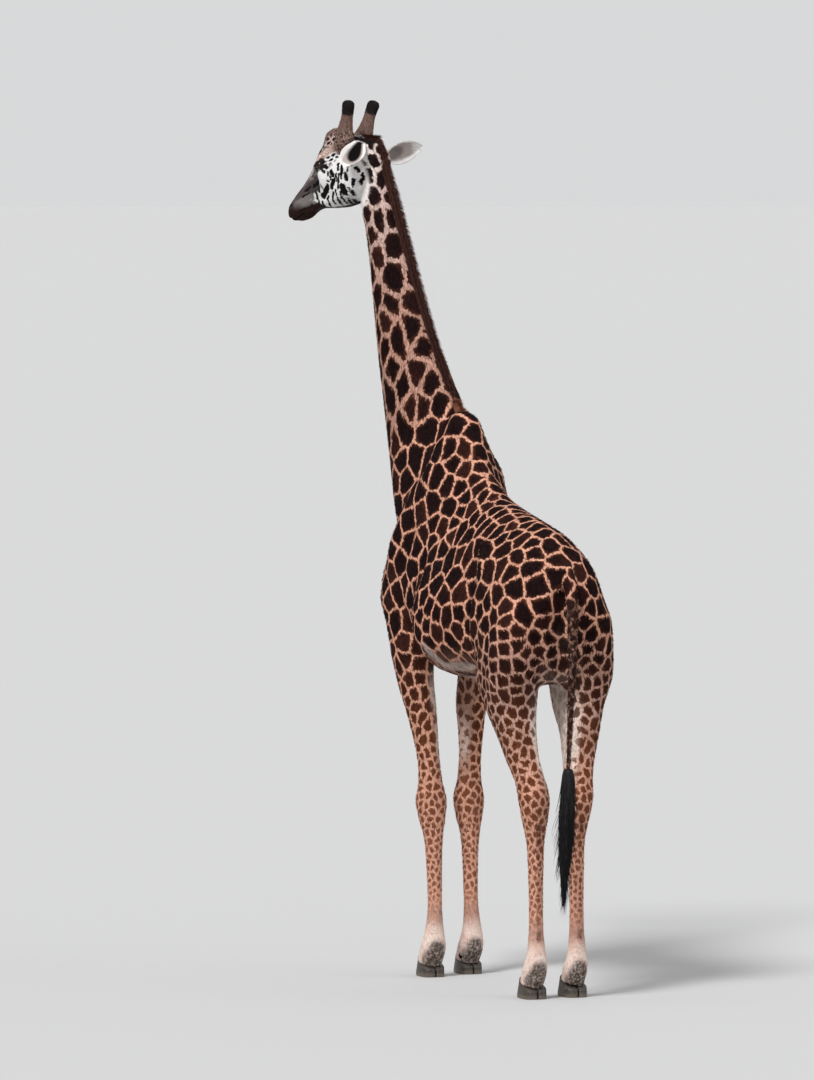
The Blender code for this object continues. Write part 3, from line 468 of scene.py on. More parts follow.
# Finer forms that only the skin has, in the body frame and in the head's frame.
SKIN_STROKES = (
    ("hock tendon", (-0.80, 0.122, 1.02), (-0.735, 0.118, 1.30), 0.018, 0.006),
    ("hock hollow", (-0.715, 0.165, 1.06), (-0.70, 0.160, 1.26), 0.026, -0.008),
    ("hind sinew", (-0.735, 0.126, 0.86), (-0.742, 0.116, 0.30), 0.014, 0.004),
    ("hind groove", (-0.715, 0.150, 0.84), (-0.715, 0.146, 0.32), 0.013, -0.004),
    ("fore sinew", (0.645, 0.126, 0.80), (0.640, 0.122, 0.30), 0.014, 0.004),
    ("fore groove", (0.672, 0.156, 0.78), (0.668, 0.150, 0.32), 0.013, -0.004),
    ("knee cap", (0.795, 0.122, 0.93), (0.790, 0.122, 0.86), 0.036, 0.006),
    ("forearm muscle", (0.72, 0.185, 1.52), (0.74, 0.180, 1.28), 0.050, 0.008),
    ("elbow fold", (0.60, 0.225, 1.72), (0.72, 0.250, 1.62), 0.020, -0.008),
    ("flank fold", (-0.24, 0.28, 1.66), (-0.10, 0.27, 1.60), 0.030, 0.010),
    ("hip groove", (-0.38, 0.31, 2.10), (-0.46, 0.32, 1.82), 0.040, -0.007),
    ("rump muscle", (-0.66, 0.20, 2.14), (-0.74, 0.20, 1.90), 0.085, 0.010),
    ("ribs one", (0.36, 0.34, 2.10), (0.30, 0.34, 1.76), 0.020, 0.004),
    ("ribs two", (0.24, 0.34, 2.12), (0.18, 0.34, 1.76), 0.020, 0.004),
    ("ribs three", (0.12, 0.34, 2.10), (0.06, 0.34, 1.76), 0.020, 0.004),
    ("shoulder ridge", (0.66, 0.20, 2.60), (0.86, 0.27, 2.20), 0.030, 0.007),
    ("shoulder groove", (0.90, 0.22, 2.48), (0.96, 0.25, 2.16), 0.036, -0.009),
)
FACE_STROKES = (
    ("upper lid fold", (0.252, 0.108, 0.158), (0.312, 0.102, 0.152), 0.008, 0.004),
    ("tear hollow", (0.318, 0.088, 0.104), (0.340, 0.082, 0.086), 0.011, -0.004),
    ("cheek bone", (0.150, 0.112, 0.044), (0.330, 0.090, 0.050), 0.018, 0.005),
    ("jaw edge", (0.130, 0.098, -0.098), (0.400, 0.062, -0.042), 0.018, 0.005),
    ("cheek groove", (0.300, 0.094, 0.010), (0.420, 0.070, 0.004), 0.014, -0.004),
    ("nostril", (0.570, 0.046, 0.056), (0.600, 0.034, 0.044), 0.008, -0.012),
    ("nostril wing", (0.552, 0.052, 0.066), (0.586, 0.047, 0.062), 0.008, 0.005),
    ("mouth", (0.470, 0.062, -0.010), (0.632, 0.018, 0.006), 0.0055, -0.0075),
    ("upper lip", (0.500, 0.058, 0.008), (0.622, 0.026, 0.016), 0.014, 0.004),
    ("lower lip edge", (0.500, 0.056, -0.028), (0.612, 0.024, -0.010), 0.012, 0.004),
    ("chin", (0.520, 0.0, -0.040), (0.570, 0.0, -0.034), 0.022, 0.005),
    ("lip cleft", (0.610, 0.0, 0.034), (0.634, 0.0, 0.016), 0.006, -0.003),
    ("throat latch", (0.115, 0.086, -0.120), (0.080, 0.098, 0.010), 0.022, -0.008),
)
# Where the skin is made of smaller faces: in the head's frame, a point and a radius.
FINE_SPOTS = (
    ((0.282, 0.095, 0.126), 0.062),
    ((0.575, 0.030, 0.030), 0.085),
)


def origin_shift():
    """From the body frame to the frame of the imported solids."""
    low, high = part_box("eye_left")
    eye = HEAD_FRAME @ Vector(EYE_PLACE)
    return (Vector(low) + Vector(high)) / 2 - eye


SHIFT = origin_shift()


def all_strokes():
    """Every stroke as start, end, radius and height, in the body frame."""
    for start, end, radius, height in both_sides(BODY_STROKES + SKIN_STROKES):
        yield place(*start), place(*end), radius, height
    for start, end, radius, height in both_sides(HEAD_STROKES + FACE_STROKES):
        yield HEAD_FRAME @ Vector(start), HEAD_FRAME @ Vector(end), radius, height


def rows_of(mesh, name, count, kind="co", width=3):
    row = np.empty(count * width)
    getattr(mesh, name).foreach_get(kind, row)
    return row.reshape(-1, width)


def mesh_arrays(mesh):
    """Points and normals of a mesh's vertices, as rows."""
    total = len(mesh.vertices)
    return rows_of(mesh, "vertices", total), rows_of(mesh, "vertices", total, "normal")


def near_line(points, start, end):
    """How far each point is from a straight line between two points."""
    start, end = np.array(start), np.array(end)
    line = end - start
    share = np.clip((points - start) @ line / max(line @ line, 1e-9), 0, 1)
    return np.linalg.norm(points - start - share[:, None] * line, axis=1)


def ramp(values, low, high):
    return np.clip((values - low) / (high - low), 0, 1)


def smooth_ramp(values, low, high):
    share = ramp(values, low, high)
    return share * share * (3 - 2 * share)


def head_points(points):
    """Points of the body frame in the head's own frame."""
    inverse = np.array(HEAD_FRAME.inverted())
    return points @ inverse[:3, :3].T + inverse[:3, 3]


def trunk_share(points):
    """1 over the trunk, falling to 0 up the neck and down the legs."""
    forward, height = -points[:, 1], points[:, 2]
    up_the_neck = ramp(height + 0.9 * (forward - 0.8), 2.75, 3.15)
    return ramp(height, 1.45, 1.75) * (1 - up_the_neck)


def root_share(points):
    """1 where the neck runs into the withers, falling to 0 round it."""
    away = np.hypot(-points[:, 1] - 0.84, points[:, 2] - 2.74)
    return 1 - ramp(away, 0.153, 0.425)


def neck_share(points):
    forward, height = -points[:, 1], points[:, 2]
    return smooth_ramp(height + 0.9 * (forward - 0.8), 2.70, 3.10)


def head_share(points):
    inside = head_points(points)
    below = smooth_ramp(inside[:, 2] + 0.30 * inside[:, 0], -0.20, -0.12)
    return smooth_ramp(inside[:, 0] + 0.35 * inside[:, 2], -0.06, 0.10) * below * (points[:, 2] > 3.6)


# ------------------------------------------------------------ object helpers
def add_object(name, mesh):
    made = bpy.data.objects.new(name, mesh)
    bpy.context.scene.collection.objects.link(made)
    return made


def mesh_of(name, bm):
    mesh = bpy.data.meshes.new(name)
    bm.to_mesh(mesh)
    bm.free()
    return mesh


def evaluated(obj, name):
    """The object's evaluated mesh, as a new mesh of its own."""
    bpy.context.view_layer.update()
    graph = bpy.context.evaluated_depsgraph_get()
    mesh = bpy.data.meshes.new_from_object(
        obj.evaluated_get(graph), preserve_all_data_layers=True, depsgraph=graph
    )
    mesh.name = name
    return mesh


def drop(obj):
    mesh = obj.data
    bpy.data.objects.remove(obj)
    if mesh.users == 0:
        bpy.data.meshes.remove(mesh)


def finish_piece(obj, slot, *nodes):
    obj.data.shade_smooth()
    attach(obj, "root")
    if nodes:
        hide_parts(*nodes)
    return obj


def settled(name, mesh, finish, slot, *nodes):
    """Makes a piece of a mesh that is still in the body frame."""
    mesh.transform(Matrix.Translation(SHIFT))
    mesh.materials.append(finish)
    return finish_piece(add_object(name, mesh), slot, *nodes)


def joined_tubes(name, tubes):
    """One mesh of several closed tubes, each given by its rings."""
    joined = bmesh.new()
    for rings in tubes:
        piece = mesh_of("part", skin_tube(rings))
        joined.from_mesh(piece)
        bpy.data.meshes.remove(piece)
    return mesh_of(name, joined)


def keep_places(mesh):
    """Keeps each point's own place, for the noise of its material."""
    store(mesh, "root_pos", "FLOAT_VECTOR", "POINT", mesh_arrays(mesh)[0])


def store(mesh, name, kind, domain, values):
    """Writes an attribute of the mesh from rows of numbers."""
    old = mesh.attributes.get(name)
    if old is not None:
        mesh.attributes.remove(old)
    made = mesh.attributes.new(name, kind, domain)
    field = {"FLOAT": "value", "FLOAT_VECTOR": "vector", "FLOAT_COLOR": "color"}[kind]
    made.data.foreach_set(field, np.asarray(values, np.float32).ravel())


# ------------------------------------------------------------------- the skin
def rough_skin(voxel):
    """The lofts of the whole animal as one closed mesh, in the body frame."""
    lofts = [
        tube_rings(TRUNK, UP, 40, 5, heading=FORWARD),
        tube_rings(NECK, FORWARD, 36, 6, NECK_TWIST),
        head_rings(40, 6),
        tube_rings(TAIL, UP, 14, 5),
    ]
    for side, sign in SIDES.items():
        for stations in (foreleg_stations(side), hindleg_stations(side)):
            lofts.append(tube_rings(mirrored(stations, sign), FORWARD, 28, 5))
    whole = add_object("skin", joined_tubes("skin", lofts))
    blend = whole.modifiers.new("Blend", "REMESH")
    blend.mode = "VOXEL"
    blend.voxel_size = voxel
    blended = evaluated(whole, "skin")
    whole.modifiers.clear()
    whole.data = blended
    points, _ = mesh_arrays(blended)
    for name, weights in (("trunk", trunk_share(points)), ("root", root_share(points))):
        group = whole.vertex_groups.new(name=name)
        for index, weight in enumerate(weights):
            if weight > 0.01:
                group.add([index], weight, "REPLACE")
    scale = (0.014 / voxel) ** 2
    for rounds, group in ((5, ""), (22, "trunk"), (60, "root")):
        soften = whole.modifiers.new("Soften" + group, "SMOOTH")
        soften.factor = 0.5
        soften.iterations = round(rounds * scale)
        soften.vertex_group = group
    smooth = evaluated(whole, "skin")
    whole.modifiers.clear()
    whole.vertex_groups.clear()
    whole.data = smooth
    return whole


def refine(mesh, wanted, rounds):
    """Splits the faces where wanted(points) is true, then evens out the new points."""
    bm = bmesh.new()
    bm.from_mesh(mesh)
    centres = np.array([f.calc_center_median() for f in bm.faces])
    chosen = wanted(centres)
    faces = [f for f, yes in zip(bm.faces, chosen) if yes]
    edges = list(dict.fromkeys(e for f in faces for e in f.edges))
    bmesh.ops.subdivide_edges(bm, edges=edges, cuts=1, use_grid_fill=True)
    bmesh.ops.triangulate(bm, faces=[f for f in bm.faces if len(f.verts) > 4])
    centres = np.array([v.co for v in bm.verts])
    near = wanted(centres)
    verts = [v for v, yes in zip(bm.verts, near) if yes]
    for _ in range(rounds):
        bmesh.ops.smooth_vert(
            bm, verts=verts, factor=0.5, use_axis_x=True, use_axis_y=True, use_axis_z=True
        )
    bm.to_mesh(mesh)
    bm.free()


def press(mesh):
    """Moves each vertex along its normal by every stroke near it."""
    points, normals = mesh_arrays(mesh)
    lift = np.zeros(len(points))
    for start, end, radius, height in all_strokes():
        away = near_line(points, start, end)
        lift += height * np.exp(-((away / radius) ** 2))
    mesh.vertices.foreach_set("co", (points + normals * lift[:, None]).ravel())
    mesh.update()


def shape_lids(mesh):
    """Lays the skin round each eye as lids on the ball, with an almond opening."""
    points, _ = mesh_arrays(mesh)
    inside = head_points(points)
    turn = np.array(HEAD_FRAME.to_3x3())
    for sign in SIDES.values():
        away = inside - np.array(EYE_PLACE) * (1, sign, 1)
        distance = np.linalg.norm(away, axis=1)
        outward = away[:, 1] * sign
        near = (distance < 0.058) & (outward > -0.012)
        way = away / np.maximum(distance, 1e-6)[:, None]
        u, v = way[:, 0], way[:, 2] + 0.10 * way[:, 0]
        width = 0.80
        opening = np.hypot(u / width, v / (0.62 * np.sqrt(np.clip(1 - (u / width) ** 2, 0.02, 1))))
        lid = EYE_RADIUS + 0.0028 + 0.0022 * np.exp(-(((opening - 1.12) / 0.12) ** 2))
        sunk = EYE_RADIUS - 0.007
        radius = np.where(opening < 1.05, sunk + (lid - sunk) * smooth_ramp(opening, 0.90, 1.05), lid)
        blend = 1 - smooth_ramp(distance, 0.033, 0.050)
        blend = np.where(near, blend, 0)
        inside += way * ((radius - distance) * blend)[:, None]
    moved = inside @ turn.T + np.array(HEAD_FRAME.translation)
    mesh.vertices.foreach_set("co", moved.ravel())
    mesh.update()


def coat_depth(points):
    """How deep the coat is at each point: thin on the face and the feet."""
    inside = head_points(points)
    head = head_share(points)
    depth = 0.0065 - 0.0035 * (1 - smooth_ramp(points[:, 2], 0.12, 0.7))
    depth = depth * (1 - head) + 0.0030 * head
    muzzle = smooth_ramp(inside[:, 0], 0.42, 0.54) * head
    return depth * (1 - muzzle) + 0.0014 * muzzle


def sink(mesh):
    """Moves the skin in by the depth of the coat."""
    points, normals = mesh_arrays(mesh)
    mesh.vertices.foreach_set("co", (points - normals * coat_depth(points)[:, None]).ravel())
    mesh.update()


# --------------------------------------------------------- lie of the coat
def laid_flat(way, normals):
    """The way laid flat on the surface, one unit long."""
    flat = way - normals * (way * normals).sum(axis=1)[:, None]
    return flat / np.maximum(np.linalg.norm(flat, axis=1), 1e-6)[:, None]


def lie_of(points, normals):
    """The way the hair lies: back along the head, down the neck and the legs."""
    back, down = np.array(place(-1, 0, 0)), np.array(place(0, 0, -1))
    nose = np.array(HEAD_FRAME.to_3x3() @ Vector((1, 0, 0)))
    neck_way = np.array(place(-0.42, 0, -1.0))
    neck_way /= np.linalg.norm(neck_way)
    trunk = trunk_share(points)[:, None]
    neck = neck_share(points)[:, None]
    head = head_share(points)[:, None]
    way = down * (1 - trunk) + (back * 0.85 + down * 0.55) * trunk
    way = way * (1 - neck) + neck_way * neck
    way = way * (1 - head) - nose * head
    return laid_flat(way, normals)


# ------------------------------------------------------------- the pattern
# The patches' middles: how far apart they are, and how much longer than wide.
def patch_size(points):
    forward, height = -points[:, 1], points[:, 2]
    size = 0.088 + 0.016 * smooth_ramp(forward, 0.35, 0.80) - 0.012 * tail_near(points, 0.30)
    size = size - 0.016 * smooth_ramp(height, 2.15, 2.40) * (1 - smooth_ramp(forward, 0.30, 0.60))
    hind = 1 - smooth_ramp(forward, -0.42, -0.10)
    size = size + (0.052 - size) * (1 - smooth_ramp(height - 0.18 * hind, 1.42, 1.86))
    size = size + (0.034 - size) * (1 - smooth_ramp(height, 1.05, 1.50))
    size = size + (0.023 - size) * (1 - smooth_ramp(height, 0.62, 1.00))
    size = size + (0.036 - size) * tail_near(points, 0.055)
    neck = neck_share(points)
    size = size * (1 - neck) + (0.094 - 0.032 * ramp(height, 3.0, 4.0)) * neck
    head = head_share(points)
    return size * (1 - head) + (0.034 - 0.015 * face_net(points)) * head


def face_net(points):
    """1 over the temples and the forehead, where the spots are small and close."""
    inside = head_points(points)
    net = smooth_ramp(inside[:, 2] + 0.10 * inside[:, 0], 0.095, 0.125)
    return net * (1 - smooth_ramp(inside[:, 0], 0.275, 0.305)) * smooth_ramp(inside[:, 0], -0.03, 0.01)


def tail_near(points, width):
    """1 on the tail and near its root, falling to 0 round it."""
    away = near_line(points, place(-0.90, 0.0, 1.85), place(-0.88, 0.01, 1.10))
    return 1 - smooth_ramp(away, width * 0.7, width)


def patch_stretch(points):
    """The share c in distance^2 = v.v - c (v.t)^2, where t is the lie of the coat."""
    neck = neck_share(points) * (1 - head_share(points))
    leg = 1 - smooth_ramp(points[:, 2], 1.2, 1.6)
    return 0.12 + 0.50 * neck + 0.30 * head_share(points) + 0.05 * leg * (1 - neck)


def scatter_seeds(points, normals, sizes, stretch, lie, seed):
    """Picks vertices that are at least their own size apart, then evens them out."""
    chance = np.random.default_rng(seed)
    tree = KDTree(len(points))
    for index, point in enumerate(points):
        tree.insert(point, index)
    tree.balance()
    alive = np.ones(len(points), bool)
    loose = sizes * chance.uniform(0.80, 1.12, len(points))
    picked = []
    for index in chance.permutation(len(points)):
        if not alive[index]:
            continue
        picked.append(index)
        reach = loose[index] / math.sqrt(1 - stretch[index])
        near = np.array([found[1] for found in tree.find_range(points[index], reach)])
        away = points[near] - points[index]
        length = (away**2).sum(axis=1) - stretch[index] * (away @ lie[index]) ** 2
        facing = normals[near] @ normals[index] > -0.1
        alive[near[(length < loose[index] ** 2) & facing]] = False
    return np.array(picked)


def nearest_seeds(points, normals, seeds, seed_normals, lie, stretch, count):
    """For each point, the seeds that are nearest by the stretched distance."""
    tree = KDTree(len(seeds))
    for index, seed in enumerate(seeds):
        tree.insert(seed, index)
    tree.balance()
    wide = 12
    found = np.array([[f[1] for f in tree.find_n(p, wide)] for p in points])
    away = points[:, None] - seeds[found]
    length = (away**2).sum(axis=2)
    length -= stretch[:, None] * (np.einsum("ijk,ik->ij", away, lie)) ** 2
    opposite = np.einsum("ijk,ik->ij", seed_normals[found], normals) < -0.25
    length[opposite] += 4.0
    order = np.argsort(length, axis=1)[:, :count]
    return np.take_along_axis(found, order, axis=1)


# Paint on the skin where the markings aren't patches, with painted shade in a few hollows: in the head's
# frame or the body's, a line, its radius, a colour and how strong it is.
HEAD_MARKS = (
    ("brow", (0.190, 0.085, 0.165), (0.262, 0.095, 0.152), 0.029, (0.58, 0.42, 0.36), 0.62),
    ("ear root", (0.115, 0.096, 0.105), (0.130, 0.107, 0.066), 0.024, (0.90, 0.88, 0.86), 0.90),
    ("forehead hair", (0.120, 0.0, 0.270), (0.245, 0.0, 0.238), 0.056, (0.150, 0.080, 0.064), 0.62),
    ("nose flank", (0.325, 0.078, 0.122), (0.455, 0.060, 0.098), 0.036, (0.130, 0.098, 0.092), 0.74),
    ("nose bridge", (0.290, 0.0, 0.205), (0.560, 0.0, 0.100), 0.043, (0.055, 0.034, 0.029), 0.86),
    ("nose band", (0.370, 0.078, 0.066), (0.500, 0.056, 0.068), 0.040, (0.060, 0.050, 0.050), 0.90),
    ("nose side", (0.480, 0.056, 0.060), (0.560, 0.056, 0.052), 0.040, (0.075, 0.062, 0.060), 0.86),
    ("lip side", (0.448, 0.062, 0.024), (0.530, 0.058, 0.028), 0.029, (0.20, 0.18, 0.172), 0.78),
    ("muzzle", (0.560, 0.0, -0.018), (0.625, 0.0, 0.005), 0.080, (0.020, 0.0095, 0.0075), 0.98),
    ("lower lip", (0.455, 0.0, -0.045), (0.555, 0.0, -0.030), 0.064, (0.024, 0.012, 0.010), 0.96),
    # The nostrils and the line of the mouth are painted near black: painted shade in their hollows.
    ("nostril", (0.572, 0.045, 0.056), (0.600, 0.034, 0.046), 0.0095, (0.004, 0.003, 0.003), 1.0),
    ("mouth line", (0.604, 0.030, -0.012), (0.470, 0.056, -0.020), 0.0050, (0.004, 0.003, 0.003), 1.0),
    ("horn root", (0.110, 0.074, 0.158), (0.085, 0.080, 0.185), 0.066, (0.19, 0.115, 0.092), 0.82),
    ("chin", (0.395, 0.0, -0.075), (0.450, 0.0, -0.055), 0.030, (0.060, 0.052, 0.048), 0.80),
    # Under the jaw: a dark fringe of hair, darkened further by painted shade of the jaw's underside.
    ("jaw under", (0.220, 0.0, -0.145), (0.400, 0.0, -0.085), 0.032, (0.075, 0.062, 0.055), 0.80),
    ("poll", (0.050, 0.048, 0.150), (-0.030, 0.025, 0.100), 0.026, (0.016, 0.011, 0.011), 0.95),
    ("lid rim", (0.256, 0.112, 0.132), (0.308, 0.108, 0.124), 0.022, (0.012, 0.008, 0.008), 0.97),
)
BODY_MARKS = (
    ("tail", (-0.905, 0.0, 1.95), (-0.890, 0.010, 1.10), 0.042, (0.020, 0.0085, 0.0070), 0.86),
    ("belly", (-0.30, 0.0, 1.50), (0.62, 0.0, 1.52), 0.150, (0.66, 0.57, 0.51), 0.60),
    ("elbow hair", (0.22, 0.375, 1.70), (0.17, 0.30, 1.63), 0.034, (0.66, 0.57, 0.51), 0.56),
    ("flank hair", (0.18, 0.26, 1.60), (-0.08, 0.22, 1.60), 0.040, (0.66, 0.57, 0.51), 0.64),
    # Painted shade along the lower edge of the belly.
    ("sheath", (0.15, 0.18, 1.57), (0.02, 0.14, 1.56), 0.030, (0.030, 0.020, 0.018), 0.85),
    ("inner thigh", (-0.52, 0.045, 1.52), (-0.60, 0.06, 1.24), 0.080, (0.66, 0.58, 0.52), 0.75),
    ("armpit", (0.60, 0.06, 1.62), (0.72, 0.05, 1.42), 0.085, (0.66, 0.56, 0.49), 0.70),
    ("seat", (-0.84, 0.0, 1.92), (-0.80, 0.0, 1.60), 0.055, (0.50, 0.34, 0.26), 0.60),
)
# Marks of every foot, forward of the middle of the foot, across it and up.
FOOT_MARKS = (
    ("fetlock", (-0.062, 0.0, 0.140), (-0.055, 0.0, 0.085), 0.052, (0.040, 0.032, 0.028), 0.90),
    ("fetlock sides", (-0.040, 0.042, 0.105), (-0.010, 0.046, 0.080), 0.036, (0.060, 0.047, 0.040), 0.80),
    ("coronet", (0.080, 0.0, 0.058), (-0.050, 0.0, 0.066), 0.048, (0.070, 0.054, 0.046), 0.80),
)
# The row of dark spots down the back of each hind leg: heights of their middles.
SINEW_SPOTS = (0.86, 0.79, 0.73, 0.66, 0.595, 0.53, 0.46, 0.40, 0.335)
# Black spots of the face, seen from its side in the head's frame: a line from along
# and height to along and height, and half its width.
FACE_SPOTS = (
    (0.280, 0.118, 0.240, 0.088, 0.0095), (0.276, 0.094, 0.270, 0.080, 0.008),
    (0.224, 0.054, 0.226, 0.036, 0.014), (0.276, 0.030, 0.268, 0.024, 0.006),
    (0.238, 0.006, 0.266, -0.012, 0.015), (0.166, 0.068, 0.178, 0.040, 0.009),
    (0.150, 0.044, 0.168, 0.015, 0.009), (0.187, 0.020, 0.228, -0.040, 0.0065),
    (0.296, 0.006, 0.366, -0.008, 0.017), (0.393, 0.026, 0.409, 0.004, 0.0075),
    (0.202, -0.048, 0.212, -0.073, 0.019), (0.150, 0.000, 0.158, -0.028, 0.010),
    (0.130, -0.046, 0.152, -0.072, 0.0075), (0.175, -0.092, 0.186, -0.102, 0.009),
    (0.215, -0.120, 0.226, -0.126, 0.008), (0.100, -0.068, 0.106, -0.076, 0.013),
    (0.276, -0.040, 0.304, -0.050, 0.0075), (0.252, -0.036, 0.268, -0.058, 0.006),
    (0.358, 0.032, 0.372, 0.018, 0.006), (0.392, -0.028, 0.405, -0.050, 0.0065),
    (0.350, -0.046, 0.368, -0.066, 0.0065), (0.308, -0.052, 0.326, -0.073, 0.006),
    (0.274, -0.072, 0.298, -0.094, 0.0065), (0.252, -0.085, 0.262, -0.108, 0.0065),
    (0.232, -0.102, 0.250, -0.122, 0.0075), (0.214, 0.044, 0.222, 0.012, 0.005),
    (0.203, 0.030, 0.218, -0.004, 0.006), (0.250, 0.066, 0.252, 0.050, 0.007),
    (0.244, 0.036, 0.250, 0.022, 0.006), (0.176, 0.014, 0.184, -0.012, 0.006),
    (0.128, 0.020, 0.134, 0.004, 0.006), (0.176, -0.070, 0.186, -0.082, 0.005),
    (0.232, -0.060, 0.246, -0.078, 0.006), (0.330, -0.028, 0.352, -0.036, 0.006),
    (0.330, 0.040, 0.338, 0.022, 0.005), (0.410, -0.008, 0.424, -0.024, 0.006),
    (0.092, 0.002, 0.088, -0.018, 0.011), (0.078, -0.045, 0.084, -0.070, 0.010),
    (0.098, 0.042, 0.101, 0.028, 0.008), (0.345, 0.062, 0.392, 0.064, 0.011),
    (0.420, 0.074, 0.462, 0.076, 0.006), (0.440, 0.052, 0.486, 0.056, 0.005),
)


def marks_in_body():
    """Every painted mark in the body frame: start, end, radius, colour, strength."""
    ways = ((lambda at: HEAD_FRAME @ Vector(at), HEAD_MARKS), (lambda at: place(*at), BODY_MARKS))
    for to_body, marks in ways:
        for _, start, end, *look in marks:
            for sign in (1, -1) if start[1] > 0.001 or end[1] > 0.001 else (1,):
                yield *(to_body((x, y * sign, z)) for x, y, z in (start, end)), *look
    for side, sign in SIDES.items():
        for kind in ("foreleg", "hindleg"):
            foot, track = foot_at(kind, side), track_of(kind, side)
            for _, start, end, *look in FOOT_MARKS:
                for across in (1, -1) if start[1] else (1,):
                    yield *(place(foot + x, track + y * across, z) for x, y, z in (start, end)), *look
        for height in SINEW_SPOTS:
            spot = place(HIND_FOOT + HINDLEG_STEP[side] - 0.055, 0.117 * sign, height)
            yield spot, spot - Vector((0, 0, 0.030)), 0.017, (0.065, 0.026, 0.016), 0.80


def paint(points):
    """Colour and strength of the painted marks at each point."""
    colour = np.zeros((len(points), 3))
    strength = np.zeros(len(points))
    for start, end, radius, shade, strong in marks_in_body():
        away = near_line(points, start, end)
        share = strong * (1 - smooth_ramp(away, radius * 0.74, radius * 1.24))
        total = share + strength * (1 - share)
        safe = np.maximum(total, 1e-6)
        kept = (strength * (1 - share) / safe)[:, None]
        colour = colour * kept + np.array(shade) * (share / safe)[:, None]
        strength = total
    return np.column_stack([colour, strength])


def tone(points, normals):
    """Paleness of the ground, strength of the patches, half width of the lines, and
    how far the colours go to the black and white of the face."""
    forward, height = -points[:, 1], points[:, 2]
    neck, head = neck_share(points), head_share(points)
    leg = 1 - smooth_ramp(height, 1.15, 1.70)
    low = 1 - smooth_ramp(height, 1.50, 1.80)
    inner = smooth_ramp(-normals[:, 0] * np.sign(points[:, 0]), 0.1, 0.7) * leg
    inner = inner * smooth_ramp(height, 0.9, 1.2)
    under = smooth_ramp(-normals[:, 2], 0.35, 0.9) * trunk_share(points) * (height < 1.85)
    feet = 1 - smooth_ramp(height, 0.18, 0.42)
    thigh = (1 - smooth_ramp(forward, -0.45, -0.15)) * (1 - smooth_ramp(height, 1.55, 2.0))
    thigh = thigh * smooth_ramp(height, 1.0, 1.4)
    pale = 0.02 + 0.10 * low + 0.40 * thigh + 0.36 * neck + 0.62 * inner + 0.40 * under + 0.8 * feet
    inside = head_points(points)
    crown = smooth_ramp(inside[:, 2] + 0.10 * inside[:, 0], 0.150, 0.205)
    pale = np.clip(pale * (1 - head) + head * (1 - 0.66 * crown), 0, 1)
    strong = 1 - 0.14 * (1 - smooth_ramp(height, 0.55, 1.15)) - 0.84 * (1 - smooth_ramp(height, 0.26, 0.50))
    strong = strong * (1 - 0.22 * inner) * (1 - 0.40 * under)
    net = face_net(points)
    strong = strong * (1 - smooth_ramp(head, 0.35, 0.60) * smooth_ramp(inside[:, 0], 0.04, 0.06))
    strong = np.maximum(strong, head * net)
    width = 0.0056 + 0.0030 * neck * (1 - 0.4 * smooth_ramp(height, 3.4, 4.0)) + 0.0022 * under
    width += 0.0060 * inner - 0.0008 * (1 - smooth_ramp(height, 0.6, 1.3))
    width = width * (1 - head) + (0.0056 - 0.0024 * net) * head
    ash = head * (1 - 0.62 * crown) + (1 - head) * neck * 0.28 * smooth_ramp(height, 3.3, 4.1)
    return np.column_stack([pale, strong, width, ash])


def nearest_spots(centres):
    """The two black spots of the face that are nearest to each point."""
    inside = head_points(centres)
    side = inside[:, [0, 2]]
    away = []
    for x0, z0, x1, z1, radius in FACE_SPOTS:
        away.append(near_line(side, (x0, z0), (x1, z1)) - radius)
    order = np.argsort(np.array(away), axis=0)[:2]
    found = np.array(FACE_SPOTS)[order]
    off = (head_share(centres) < 0.3) | (inside[:, 0] < 0.03)
    found[:, off, 4] = -1
    return found


SEEDS = 5


def mark_skin(mesh, seed):
    """Writes on the skin all that its colours and its hair are made from."""
    points, normals = mesh_arrays(mesh)
    lie = lie_of(points, normals)
    stretch = patch_stretch(points)
    picked = scatter_seeds(points, normals, patch_size(points), stretch, lie, seed)
    chance = np.random.default_rng(seed + 1)
    seeds = points[picked]
    shade = chance.uniform(0, 1, len(picked))
    count = len(mesh.polygons)
    centres = rows_of(mesh, "polygons", count, "center")
    facing = rows_of(mesh, "polygons", count, "normal")
    face_lie = lie_of(centres, facing)
    face_stretch = patch_stretch(centres)
    nearest = nearest_seeds(
        centres, facing, seeds, normals[picked], face_lie, face_stretch, SEEDS
    )
    shift = np.array(SHIFT)
    for k in range(SEEDS):
        chosen = nearest[:, k]
        values = np.column_stack([seeds[chosen] + shift, shade[chosen]])
        store(mesh, f"seed_{k}", "FLOAT_COLOR", "FACE", values)
    store(mesh, "stretch", "FLOAT_VECTOR", "POINT", lie * np.sqrt(stretch)[:, None])
    store(mesh, "lie", "FLOAT_VECTOR", "POINT", lie)
    store(mesh, "mark", "FLOAT_COLOR", "POINT", paint(points))
    store(mesh, "tone", "FLOAT_COLOR", "POINT", tone(points, normals))
    spots = nearest_spots(centres)
    for k in (0, 1):
        store(mesh, f"spot_{k}", "FLOAT_COLOR", "FACE", spots[k, :, :4])
    radii = np.column_stack([spots[0, :, 4], spots[1, :, 4], np.zeros(count)])
    store(mesh, "spot_size", "FLOAT_VECTOR", "FACE", radii)


# ------------------------------------------------------------------- UV chart
def unwrap(obj):
    """An unwrap of the skin's own shape, that each hair lock takes its place from."""
    for other in bpy.context.selected_objects:
        other.select_set(False)
    bpy.context.view_layer.objects.active = obj
    obj.select_set(True)
    while obj.data.uv_layers:
        obj.data.uv_layers.remove(obj.data.uv_layers[0])
    obj.data.uv_layers.new(name="OFBake")
    bpy.ops.object.mode_set(mode="EDIT")
    bpy.ops.mesh.select_all(action="SELECT")
    bpy.ops.uv.smart_project(angle_limit=math.radians(72), island_margin=0.0015)
    bpy.ops.object.mode_set(mode="OBJECT")
    obj.select_set(False)


